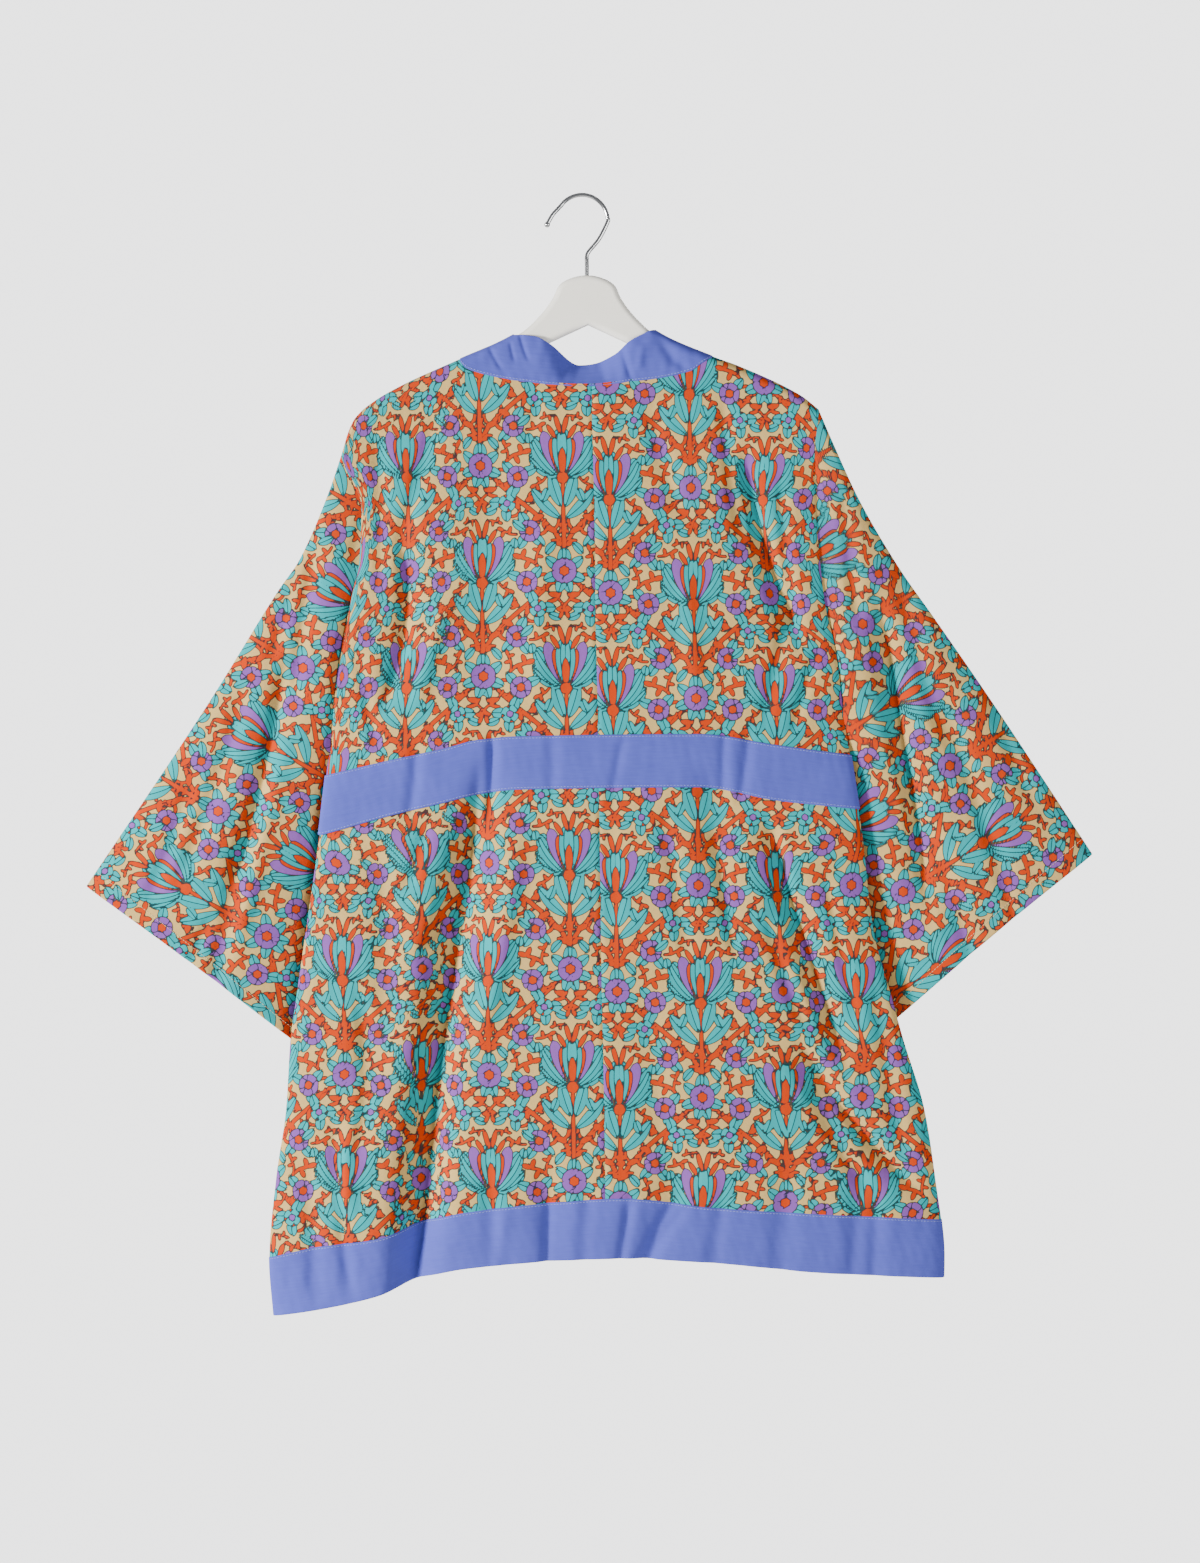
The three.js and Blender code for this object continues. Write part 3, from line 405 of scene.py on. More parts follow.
# z from, z to, x where it starts, bends and ends, half width, depth. The folds are in the solids too, and the
# creases stand out CREASED times as sharply as they are drawn.
CREASED = 1.6
BACK_FOLDS = [
    (-487, -1100, -79, -133, -163, 18, 19), (-275, -475, -168, -160, -190, 14, 5), (-185, -491, -82, -85, -90, 22, 3),
    (-208, -420, 145, 162, 203, 13, 6), (-540, -800, 160, 198, 247, 15, 7), (-755, -915, 188, 240, 318, 15, 6),
    (-500, -680, 112, 125, 141, 16, 4), (-560, -850, -190, -177, -202, 14, 4), (-840, -1050, -36, -28, -22, 14, 4),
    (-850, -1050, 98, 60, 40, 16, 4), (-850, -1050, 184, 178, 172, 12, 3),
]
BACK_CREASES = [
    (-360, -470, -120, -138, -150, 8, -2.2), (-280, -480, -32, -40, -36, 12, -1.6),
    (-190, -330, -130, -150, -170, 7, 1.6), (-180, -300, 60, 72, 92, 9, 1.6), (-170, -330, 128, 132, 150, 7, 2.0),
    (-240, -420, 178, 184, 196, 6, 2.2), (-330, -480, 90, 98, 110, 10, -1.4), (-350, -488, 190, 176, 160, 7, 1.8),
    (-400, -492, 214, 200, 188, 5, 1.6), (-200, -380, -190, -182, -188, 7, 2.2),
    (-400, -505, -205, -196, -184, 6, 1.8), (-560, -780, -60, -72, -96, 10, -2.6),
    (-545, -700, -100, -118, -150, 7, 3.0), (-560, -640, -140, -150, -166, 6, 1.6), (-545, -700, 70, 84, 96, 8, 1.6),
    (-700, -900, -205, -196, -214, 8, 2.6), (-760, -940, -190, -206, -222, 9, -2.2),
    (-770, -905, 195, 222, 262, 9, 2.6), (-640, -760, 166, 180, 206, 7, 2.2), (-690, -900, 262, 276, 296, 8, 2.4),
    (-600, -760, 216, 232, 250, 6, 2.0), (-820, -960, -128, -132, -140, 8, 2.0), (-860, -990, -88, -80, -74, 9, 1.6),
    (-540, -700, 20, 26, 24, 11, 0.9), (-700, -900, 60, 66, 84, 14, 1.4), (-560, -660, 180, 186, 200, 6, -1.6),
    (-175, -230, -40, -44, -52, 6, 0.9), (-880, -1000, 4, 2, -2, 7, 1.2), (-880, -1000, 128, 120, 112, 8, 1.4),
    (-860, -1000, 250, 246, 240, 9, 1.8), (-860, -1010, -250, -244, -240, 8, 2.0),
    (-820, -1010, -226, -218, -206, 6, 1.8), (-480, -560, 40, 30, 26, 5, 0.9), (-476, -556, 150, 146, 140, 6, 1.8),
    (-474, -550, 128, 126, 128, 5, 1.2), (-488, -572, -150, -152, -158, 6, 1.6), (-478, -556, -30, -28, -30, 6, 0.9),
    (-890, -1000, 44, 36, 26, 5, 2.0), (-890, -1000, 92, 60, 36, 7, 2.4), (-890, -1000, -30, -32, -36, 5, 1.8),
    (-900, -1020, -70, -76, -84, 7, -1.6), (-890, -1000, 262, 262, 260, 8, 1.8),
    (-470, -1040, -82, -128, -152, 6.5, 2.8), (-478, -575, -82, -82, -86, 5, 3.0),
    (-300, -480, -166, -160, -187, 6, 3.0), (-220, -400, 146, 161, 194, 6, 3.6), (-550, -800, 166, 198, 242, 6, 4.0),
    (-750, -910, 190, 240, 316, 6, 3.4), (-560, -700, 116, 127, 140, 6, 1.8), (-900, -1010, 100, 62, 38, 5, 1.8),
    (-900, -1020, -150, -152, -160, 12, 2.0),
]
FRONT_FOLDS = [
    (-300, -1100, -148, -165, -188, 17, 9), (-560, -1100, -108, -112, -104, 13, 6),
    (-650, -1100, -214, -227, -238, 13, 6), (-330, -1100, 150, 172, 205, 17, 9), (-700, -1100, 244, 260, 276, 14, 6),
    (-220, -460, -150, -166, -196, 9, 2.4), (-220, -430, 150, 166, 196, 9, 2.6),
    (-480, -800, -130, -138, -150, 8, -2.0), (-500, -820, 120, 130, 140, 10, 2.0),
    (-760, -1050, 170, 164, 160, 9, 2.2), (-720, -1050, -250, -252, -256, 7, 2.0),
]


def sharpened(creases):
    return [row[:6] + (row[6] * CREASED,) for row in creases]


BACK_FORM = BACK_FOLDS + sharpened(BACK_CREASES)


def smooth_line(rows, column):
    """Reads one column of a table by its first one, on a smooth line that never overshoots the rows."""
    table = np.array(sorted(rows), float)
    at, value = table[:, 0], table[:, column]
    grade = np.diff(value) / np.diff(at)
    before, after = grade[:-1], grade[1:]
    with np.errstate(divide="ignore", invalid="ignore"):
        middle = np.where(before * after > 0, 2 * before * after / (before + after), 0)
    slope = np.concatenate((grade[:1], middle, grade[-1:]))

    def read(where):
        place = np.clip(where, at[0], at[-1])
        i = np.clip(np.searchsorted(at, place, side="right") - 1, 0, len(at) - 2)
        span = at[i + 1] - at[i]
        s = (place - at[i]) / span
        start = value[i] * (1 + 2 * s) * (1 - s) ** 2 + slope[i] * span * s * (1 - s) ** 2
        return start + value[i + 1] * (3 - 2 * s) * s ** 2 - slope[i + 1] * span * s ** 2 * (1 - s)

    return read


def rise(value, low, high):
    s = np.clip((value - low) / (high - low), 0, 1)
    return s * s * (3 - 2 * s)


def closing(count):
    """Shares from 0 to 1 that lie closer together towards 1."""
    return np.sin(np.linspace(0, math.pi / 2, count))


side_line = [smooth_line(BODY, 1), smooth_line(BODY, 3)]
centre_line = smooth_line(BODY, 2)
body_half = smooth_line(BODY, 4)
shoulder_line = smooth_line(SHOULDERS, 1)
neck_seam, neck_edge = smooth_line(NECK, 1), smooth_line(NECK, 2)
waist_top, waist_bottom = smooth_line(WAIST, 1), smooth_line(WAIST, 2)
hem_seam, hem_edge = smooth_line(HEM, 1), smooth_line(HEM, 2)
NECK_ENDS = (NECK[0][0], NECK[-1][0])


def panel_foot(x):
    return hem_seam(x) - UNDER_SEAM


def fold_depth(folds, x, z):
    depth = np.zeros(np.broadcast(x, z).shape)
    for start, end, x_from, x_bend, x_to, width, deep in folds:
        s = (z - start) / (end - start)
        bend = 2 * x_bend - (x_from + x_to) / 2
        middle = x_from * (1 - s) ** 2 + 2 * bend * s * (1 - s) + x_to * s ** 2
        fade = rise(s, 0, FOLD_ENDS) * (1 - rise(s, 1 - FOLD_ENDS, 1))
        depth += deep * fade * np.exp(-((x - middle) / width) ** 2)
    return depth


def shoulder_roll(x, z):
    below = np.clip(shoulder_line(x) - z, 0, SHOULDER_ROLL)
    return np.sqrt(SHOULDER_ROLL ** 2 - (SHOULDER_ROLL - below) ** 2) / SHOULDER_ROLL


def armhole_depth(side, z):
    s = (z - UNDERARM[side]) / (ARMHOLE_TOP[side] - UNDERARM[side])
    wide = VALLEY_DEPTH + (SHOULDER_ROLL - VALLEY_DEPTH) * rise(s, *ARMHOLE_WIDENS)
    return wide * np.sqrt(np.clip(s / ARMHOLE_CLOSES, 0, 1))


def body_points(x, z, layer, folds):
    """Places on the body's cloth, at the back for layer -1 and at the front for layer 1."""
    centre = centre_line(z)
    left = x < centre
    reach = np.where(left, centre - side_line[0](z), side_line[1](z) - centre)
    share = np.clip((x - centre) / reach, -1, 1)
    edge = np.where(left, armhole_depth(0, z), armhole_depth(1, z))
    lens = np.maximum(0, 1 - share ** 2) ** FOLD_ROUNDING
    roll = shoulder_roll(x, z)
    half = (edge + (body_half(z) - edge) * lens) * roll
    half -= fold_depth(folds, x, z) * roll * np.minimum(1, lens * FOLDS_NEAR_SIDES)
    below = rise(np.where(left, UNDERARM[0], UNDERARM[1]) - z, 0, BODY_LIFT[1])
    return np.stack((x, -BODY_LIFT[0] * below * share ** 6 + layer * np.maximum(0, half), z), -1)


def heights(place, line):
    """Where each column of cloth meets a line that gives a height at an x."""
    z = line(place(UNDERARM[0]))
    for _ in range(MEETING_STEPS):
        z = line(place(z))
    return z


def panel(inner, outer, shares, low, high, layer, folds, count, sign):
    """Points of a panel of the body, its rows from the lowest up, packed closer where it rolls over an arm.
    count is how many rows lie below that, or how high each of them lies as a share."""
    def place(z):
        return inner(z) + (outer(z) - inner(z)) * shares
    bottom, top = heights(place, low), heights(place, high)
    roll = np.minimum(SHOULDER_ROLL, (top - bottom) / 2)
    main = (np.linspace(0, 1, count) if np.isscalar(count) else count)[:, None]
    z = np.concatenate((bottom + (top - roll - bottom) * main, top - roll + roll * closing(ROLL_ROWS)[1:, None]))
    return body_points(place(z), z, layer, folds)[:, ::sign]


def normals_of(points, ring=False):
    if ring:
        across = np.roll(points, -1, 1) - np.roll(points, 1, 1)
    else:
        across = np.gradient(points, axis=1)
    found = np.cross(across, np.gradient(points, axis=0))
    return found / np.maximum(np.linalg.norm(found, axis=-1, keepdims=True), 1e-9)


def lengths(points, axis):
    """Distance along the cloth from its first row or column."""
    gaps = np.linalg.norm(np.diff(points, axis=axis), axis=-1)
    start = np.zeros(gaps.shape[:axis] + (1,) + gaps.shape[axis + 1:])
    return np.concatenate((start, np.cumsum(gaps, axis)), axis)


def riding_piece(name, points, faces, material):
    mesh = bpy.data.meshes.new(name)
    mesh.from_pydata((points * MM).tolist(), [], faces)
    mesh.shade_smooth()
    mesh.materials.append(material)
    piece = placed(name, mesh)
    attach(piece, "root")
    return piece


def cloth_piece(name, points, material, flat=None, ring=False, capped=False, inked=False):
    """A piece of cloth from a grid of points in millimetres. flat holds each point's place in the cut cloth."""
    rows, columns = points.shape[:2]
    index = np.arange(rows * columns).reshape(rows, columns)
    around = np.concatenate((index, index[:, :1]), 1) if ring else index
    faces = np.stack((around[:-1, :-1], around[:-1, 1:], around[1:, 1:], around[1:, :-1]), -1).reshape(-1, 4)
    if capped:
        half = columns // 2
        a, b = index[:, :half], index[:, ::-1][:, :half]
        first = np.stack((a[0, 1:], a[0, :-1], b[0, :-1], b[0, 1:]), -1)
        last = np.stack((a[-1, :-1], a[-1, 1:], b[-1, 1:], b[-1, :-1]), -1)
        faces = np.concatenate((faces, first, last))
    piece = riding_piece(name, points.reshape(-1, 3), faces.tolist(), material)
    if flat is not None:
        stored = {"flat": (flat[0] * MM, flat[1] * MM, np.zeros(flat[0].shape))}
        if inked:
            inks = inks_at(flat[0], flat[1])
            stored["inks_1"], stored["inks_2"] = inks[:3], inks[3:] + [np.zeros(flat[0].shape)]
        for key, values in stored.items():
            layer = piece.data.attributes.new(key, "FLOAT_VECTOR", "POINT")
            layer.data.foreach_set("vector", np.stack(values, -1).astype(np.float32).ravel())
    return piece


# Back, two panels of printed cloth joined by the centre seam, from the hem band up to the neckband and over the
# hanger's arms. The seam lies in a shallow groove and breaks the print, which lies lower below the waist band.

BACK_ROWS, BACK_COLUMNS = 450, (85, 80)
SEAM_GROOVE, SEAM_HALF, SEAM_COLUMN = 0.9, 1.6, 0.006
UNDER_NECKBAND = 1.5
# the print's place on each half, its drop, and how far below the waist band's top the drop begins
BACK_PRINT, PRINT_DROP, DROP_FROM = [(28, 40), (61, -35)], 22, 25


def back_top(x):
    return np.where((x > NECK_ENDS[0]) & (x < NECK_ENDS[1]), neck_seam(x) + UNDER_NECKBAND, shoulder_line(x))


def printed_piece(name, points, flat, nodes, ring=False):
    piece = cloth_piece(name, points, PRINTED, flat, ring=ring, inked=True)
    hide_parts(*nodes)


seam_x, side_x = BODY[0][2:4]
share = (NECK_ENDS[1] - seam_x) / (side_x - seam_x)
shares = np.concatenate((np.linspace(0, share, BACK_COLUMNS[0]), share + (1 - share) * closing(BACK_COLUMNS[1])[1:]))
shares[1] = SEAM_COLUMN
for side, (name, sign) in enumerate(SIDES):
    points = panel(centre_line, side_line[side], shares, panel_foot, back_top, -1, BACK_FORM, BACK_ROWS, sign)
    off = np.abs(points[..., 0] - centre_line(points[..., 2]))
    points[..., 1] += SEAM_GROOVE * np.exp(-(off / SEAM_HALF) ** 2)
    across = sign * lengths(points[:, ::sign], 1)[:, ::sign]
    up = points[..., 2]
    dropped = PRINT_DROP * (up < waist_top(points[..., 0]) - DROP_FROM)
    flat = (across + BACK_PRINT[side][0], up + BACK_PRINT[side][1] - dropped)
    printed_piece(f"back_{name}_cloth", points, flat, [f"back_upper_{name}", f"back_lower_{name}"])

# Fronts, two panels of the printed cloth, joined to the back at the shoulders and sides. They part in the middle and
# hang plain behind the back.

# z, left seam, left edge, right edge, right seam of the neckband down the fronts
FRONT_EDGES = [(-120, -112.5, -63, 65, 118), (-300, -94, -44, 54, 104), (-600, -74, -24, 44, 94),
               (-1010, -58, -8, 38, 88)]
FRONT_ROWS, FRONT_COLUMNS = 330, 80
FRONT_PRINT = [(13, 31), (33, 31)]
front_seam = [smooth_line(FRONT_EDGES, 1), smooth_line(FRONT_EDGES, 4)]
front_edge = [smooth_line(FRONT_EDGES, 2), smooth_line(FRONT_EDGES, 3)]
front_shares = 0.5 * np.linspace(0, 1, FRONT_COLUMNS) + 0.5 * closing(FRONT_COLUMNS)

for side, (name, sign) in enumerate(SIDES):
    points = panel(front_seam[side], side_line[side], front_shares, panel_foot, shoulder_line, 1, FRONT_FOLDS,
                   FRONT_ROWS, -sign)
    flat = (lengths(points, 1) + FRONT_PRINT[side][0], points[..., 2] + FRONT_PRINT[side][1])
    printed_piece(f"front_{name}_cloth", points, flat, [f"front_{name}"])

# Sleeves, each a square of printed cloth folded along its top and sewn below. They drop from the armholes in
# flat tubes, and the cuff ends in a narrow turned hem.

# share of the length, x, z of the top fold
SLEEVE_TOPS = [
    [(0, -218, -232), (0.08, -230, -267), (0.23, -257, -329), (0.3, -275, -355), (0.56, -337, -455), (1, -449, -623)],
    [(0, 214, -193), (0.05, 226, -221), (0.17, 251, -275), (0.34, 288, -338), (0.46, 316, -378), (0.65, 369, -455),
     (1, 460.5, -594)],
]
CUFF_LOW, CUFF_BOW, SLEEVE_HALF = (-766, -747), (3, 4), 13
SLEEVE_FOLDS = [
    [(-390, -640, -262, -285, -320, 16, 3), (-300, -470, -240, -252, -262, 7, 2.2),
     (-420, -640, -300, -330, -372, 9, 2.2), (-470, -700, -262, -290, -318, 8, -1.8),
     (-560, -760, -300, -322, -340, 10, 2.4), (-520, -650, -350, -372, -396, 8, 1.8),
     (-330, -430, -262, -270, -286, 6, 1.4), (-640, -740, -330, -352, -366, 7, 1.6),
     (-400, -640, -266, -288, -322, 6, 2.4)],
    [(-340, -680, 264, 290, 320, 14, 6), (-250, -400, 232, 240, 250, 7, 2.4), (-330, -520, 284, 306, 338, 9, 2.2),
     (-430, -640, 320, 352, 392, 10, 2.6), (-480, -700, 272, 300, 330, 8, -2.0), (-560, -740, 310, 340, 366, 9, 2.2),
     (-350, -680, 266, 291, 320, 6, 3.4), (-420, -560, 360, 384, 410, 8, 1.8), (-600, -720, 372, 392, 408, 7, 1.6)],
]
SLEEVE_OPENS = 0.22
SLEEVE_TUCK, SLEEVE_BACK = (5.5, 0.0, 0.16), (11, 0.0, 0.24)
SLEEVE_ROWS, SLEEVE_BACK_COLUMNS, SLEEVE_FRONT_COLUMNS = 230, 150, 90
SLEEVE_PRINT = (190, 55)
CUFF_HEM, CUFF_TURN, CUFF_LIP, CUFF_LEAN, CUFF_ROWS = 12, 0.7, 0.4, 0.02, 8


def sleeve_points(side, w, t, front, folds):
    """Places on a sleeve. w runs from its top fold to its lower one, and t from the armhole to the cuff."""
    sign = (-1, 1)[side]
    top_x, top_z = smooth_line(SLEEVE_TOPS[side], 1), smooth_line(SLEEVE_TOPS[side], 2)
    start = SLEEVE_TOPS[side][0][1:]
    low = (float(side_line[side](UNDERARM[side])), UNDERARM[side])
    seam_z = start[1] + (low[1] - start[1]) * w
    seam_x = side_line[side](seam_z)
    seam_y = armhole_depth(side, seam_z) * shoulder_roll(seam_x, seam_z)
    fold_z = low[1] + (CUFF_LOW[side] - low[1]) * t
    tucked = SLEEVE_TUCK[0] * rise(t, *SLEEVE_TUCK[1:])
    fold_x = side_line[side](fold_z) - sign * tucked
    x = top_x(t) + (fold_x - top_x(t)) * w + (seam_x - start[0] - (low[0] - start[0]) * w) * (1 - t) ** 2
    z = top_z(t) + (fold_z - top_z(t)) * w + CUFF_BOW[side] * t ** 4 * np.sin(math.pi * w)
    lens = np.maximum(0, 4 * w * (1 - w)) ** FOLD_ROUNDING
    opened = rise(t, 0, SLEEVE_OPENS)
    depth = seam_y + (SLEEVE_HALF * lens - seam_y) * opened
    middle = SLEEVE_BACK[0] * rise(t, *SLEEVE_BACK[1:]) * w ** 3
    trough = fold_depth(folds, x, z) * np.minimum(1, lens * FOLDS_NEAR_SIDES) * opened
    y = middle + (depth - 0.6 * trough if front else -(depth - trough))
    return np.stack((x, y, z), -1)


def spread(count):
    """Shares from 0 to 1 that lie closer together at both ends."""
    return 0.6 * np.linspace(0, 1, count) + 0.4 * (0.5 - 0.5 * np.cos(np.linspace(0, math.pi, count)))


sleeve_cuffs = []
for side, (name, sign) in enumerate(SIDES):
    t = np.linspace(0, 1, SLEEVE_ROWS)[:, None]
    folds = sharpened(SLEEVE_FOLDS[side])
    tube = np.concatenate((sleeve_points(side, spread(SLEEVE_BACK_COLUMNS), t, False, folds),
                           sleeve_points(side, spread(SLEEVE_FRONT_COLUMNS)[1:-1], t, True, folds)[:, ::-1]), 1)
    outward = normals_of(tube, True) * sign
    along = tube[-1] - tube[-2]
    along /= np.linalg.norm(along, axis=-1, keepdims=True)
    turned_in = [tube[-1] + along * CUFF_LIP - outward[-1] * CUFF_TURN * 0.5]
    for back in np.linspace(0, CUFF_HEM, CUFF_ROWS):
        turned_in.append(tube[-1] - along * back - outward[-1] * (CUFF_TURN + CUFF_LEAN * back))
    points = np.concatenate((tube, turned_in))
    first, last = np.array(SLEEVE_TOPS[side])[[0, -1], 1:]
    axis = (last - first) / np.linalg.norm(last - first)
    off = points[..., ::2] - first
    length, down = off @ axis, off @ np.array((axis[1], -axis[0])) * sign
    is_front = np.arange(points.shape[1]) >= SLEEVE_BACK_COLUMNS
    down = np.where(is_front, 2 * down[:, :1] - down, down)
    outside_out = np.s_[::-1, ::-sign]
    flat = (sign * (length + SLEEVE_PRINT[0])[outside_out], (SLEEVE_PRINT[1] - down)[outside_out])
    printed_piece(f"sleeve_{name}_cloth", points[outside_out], flat, [f"sleeve_{name}"], True)
    sleeve_cuffs.append(tube)

# Plain bands. They are periwinkle blue taffeta, doubled and pressed flat, with a low silky sheen.
# A band has rounded edges and stands a little proud of the panel that it is sewn to.

BAND_THICK, BAND_PROUD, BAND_ROUND = 1.3, 0.5, 0.9
BAND_ROWS = np.concatenate(([0, 0.01, 0.025], np.linspace(0.06, 1, 15)))
CENTRE_GAP, PUCKERS = 0.0005, 14
BACK_BAND_COLUMNS, FRONT_HEM_COLUMNS = 220, 160


def plain_taffeta():
    """Plain taffeta: fine crosswise threads, a low sheen and a slightly uneven tone."""
    THREAD = 0.9  # mm, drawn three times as coarse as the real thread so that it shows
    material, tree = fresh_material("periwinkle_taffeta")
    flat = step(tree, "Attribute", attribute_name="flat").outputs["Vector"]
    cloud = step(tree, "TexNoise", {"Vector": flat, "Scale": 30.0, "Detail": 4.0})
    stretched = step(tree, "VectorMath", {0: flat, 1: (0.08, 1.0, 1.0)}, operation="MULTIPLY")
    slub = step(tree, "TexNoise", {"Vector": stretched, "Scale": 700.0, "Detail": 2.0})
    ribs = step(tree, "TexWave", {"Vector": flat, "Scale": 1000 / THREAD / 20,
                "Distortion": 0.8, "Detail": 1.0}, bands_direction="Y")
    tone = step(tree, "Mix", {0: slub, 6: linear("4B51AE"), 7: linear("545CB9")}, data_type="RGBA")
    worn = step(tree, "MapRange", {0: cloud, 1: 0.3, 2: 0.7, 3: 0.94, 4: 1.05})
    toned = step(tree, "HueSaturation", {"Color": tone.outputs[2], "Value": worn})
    grain = step(tree, "Math", {0: ribs.outputs["Fac"], 1: slub}, operation="ADD")
    bump = step(tree, "Bump", {"Height": grain, "Strength": 0.3, "Distance": 0.0002})
    cloth = step(tree, "BsdfPrincipled", {"Base Color": toned, "Roughness": 0.7, "IOR": 1.5,
                 "Specular IOR Level": 0.0, "Sheen Weight": 0.15, "Sheen Roughness": 0.35, "Normal": bump})
    step(tree, "OutputMaterial", {"Surface": cloth})
    return material


TAFFETA = plain_taffeta()


def band_piece(name, points, nodes, proud=BAND_PROUD):
    """A closed band on its surface's points, whose rows run along it and columns across it. Returns its face."""
    out, across = normals_of(points), lengths(points, 1)
    edge = np.minimum(across, across[:, -1:] - across)
    rounded = np.sqrt(np.clip(1 - (1 - np.clip(edge / BAND_ROUND, 0, 1)) ** 2, 0, 1))[..., None]
    middle, half = proud - BAND_THICK / 2, BAND_THICK / 2 * rounded
    ring = np.concatenate((points + out * (middle + half), (points + out * (middle - half))[:, ::-1]), 1)
    flat = [np.concatenate((way, way[:, ::-1]), 1) for way in (lengths(points, 0), across)]
    piece = cloth_piece(name, ring, TAFFETA, flat, ring=True, capped=True)
    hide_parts(*nodes)
    return points + out * proud


def ripples(along, across, seed, deep):
    """Small puckers that the seams draw up across a band, uneven in spacing and height."""
    rng = np.random.default_rng(seed)
    total = np.zeros(along.shape)
    for _ in range(PUCKERS):
        wide, phase, lean = rng.uniform(9, 30), rng.uniform(0, 6.3), rng.uniform(-0.5, 0.5)
        total += np.sin((along + lean * across) * 2 * math.pi / wide + phase) * rng.uniform(0.4, 1.0)
    return total * deep / 3


def strip(inner, outer, low, high, count, layer, folds, sign):
    """Points along a band from its inner end to its outer one, each row from the band's lower edge up."""
    shares = CENTRE_GAP + (1 - CENTRE_GAP) * closing(count)
    return panel(inner, outer, shares, low, high, layer, folds, BAND_ROWS, sign).transpose(1, 0, 2)


def across_back(low, high, seed, deep):
    """Points along a band over both halves of the back, puckered."""
    points = np.concatenate([strip(centre_line, side_line[side], low, high, BACK_BAND_COLUMNS, -1, BACK_FORM, sign)
                             for side, (_, sign) in enumerate(SIDES)])[::-1]
    points[..., 1] += ripples(lengths(points, 0), lengths(points, 1), seed, deep)
    return points


# Waist band, a strip of the plain cloth stitched flat across the back from side seam to side seam. It lies over
# the panels, so it stands out further than the other bands.

WAIST_PROUD, WAIST_RIPPLES = 1.5, (3, 0.13)

points = across_back(waist_bottom, waist_top, *WAIST_RIPPLES)
waist_face = band_piece("waist_band_cloth", points, ["waist_band"], WAIST_PROUD)

# Hem band, a doubled strip round the lower edge. The back's runs from side to side and the fronts' end in the
# neckband.

HEM_RIPPLES = (5, 0.16)

points = across_back(hem_edge, hem_seam, *HEM_RIPPLES)
hem_face = band_piece("hem_band_back_cloth", points, ["hem_band_back"])
for side, (name, sign) in enumerate(SIDES):
    points = strip(front_seam[side], side_line[side], hem_edge, hem_seam, FRONT_HEM_COLUMNS, 1, FRONT_FOLDS, sign)
    band_piece(f"hem_band_{name}_cloth", points, [f"hem_band_{name}"])

# Neckband, one folded strip that runs up one front edge, over the hanger, round the back neck and down the other.
# Its middle hangs slack below the hanger, with fine creases at both ends of the slack.

NECK_LEAN, SLACK = 16, (3, 8, 42)
ARM_ENDS = (-64, 65)
NECK_COLUMNS, NECK_SHORT, FRONT_BAND_ROWS = 250, 1.5, 330
OVER_SEAM, RIPPLES_START = 0.8, 20
NECK_CREASES = [
    (-128, -160, -88, -81, -72, 2.6, 0.8), (-130, -152, -66, -64, -61, 2.2, 0.7),
    (-120, -152, -58, -54, -48, 2.4, 0.9), (-132, -170, 34, 39, 45, 3.2, 1.0), (-122, -160, 64, 77, 92, 7.0, 1.3),
    (-140, -172, 16, 18, 20, 5.0, 0.6), (-150, -172, -18, -16, -14, 5.0, 0.6), (-132, -160, 54, 52, 49, 4.0, -1.0),
]

neck_x = np.linspace(NECK_ENDS[1] - NECK_SHORT, NECK_ENDS[0] + NECK_SHORT, NECK_COLUMNS)
on_arm = (neck_x <= ARM_ENDS[0]) | (neck_x >= ARM_ENDS[1])
top = np.where(on_arm, shoulder_line(neck_x), np.minimum(neck_edge(neck_x), shoulder_line(neck_x)))
low = neck_seam(neck_x) - OVER_SEAM
s = np.concatenate(([0, 0.012, 0.04], np.linspace(0.07, 0.78, 15), 0.78 + 0.22 * closing(ROLL_ROWS)[1:]))
z = low[:, None] + (top - low)[:, None] * s
x = neck_x[:, None] + 0 * z
points = body_points(x, z, -1, BACK_FOLDS + sharpened(NECK_CREASES))
slack = 1 - rise(np.abs(neck_x - SLACK[0]), *SLACK[1:])
points[..., 1] += (NECK_LEAN * slack)[:, None] * (z - low[:, None]) / (neck_edge(neck_x) - low)[:, None]
points[..., 1] += ripples(x, z - low[:, None], 11, 0.2)
neck_face = band_piece("neckband_back_cloth", points, ["neckband_back"])

s = np.concatenate(([0, 0.02, 0.05], np.linspace(0.1, 0.9, 12), [0.95, 0.98, 1]))
up = 1 - (1 - np.linspace(0, 1, FRONT_BAND_ROWS)[:, None]) ** 1.25


def down_front(z):
    """Places across the strip down a front, at heights z."""
    inner = front_edge[side](z)
    return inner + (front_seam[side](z) + sign * OVER_SEAM - inner) * s


for side, (name, sign) in enumerate(SIDES):
    low, top = heights(down_front, hem_edge), heights(down_front, shoulder_line)
    z = low + (top - low) * up
    x = down_front(z)
    points = body_points(x, z, 1, FRONT_FOLDS)
    points[..., 1] += ripples(z, x, 21 + side, 0.3) * np.minimum(1, (top - z) / RIPPLES_START)
    band_piece(f"neckband_{name}_cloth", points[:, ::-sign], [f"neckband_{name}", f"neckband_shoulder_{name}"])

# Stitching. Sewing thread runs along both edges of the waist band, the top of the hem band, the neckband's seam
# and the turned hems of the cuffs, in straight lockstitches about 2.5 mm long.

STITCH, STITCH_GAP, THREAD_THICK, THREAD_SIDES = 2.4, 0.6, 0.42, 5
FROM_EDGE, FIRST_STITCH = 1.8, 1.5
SLEEVE_LONG = 330


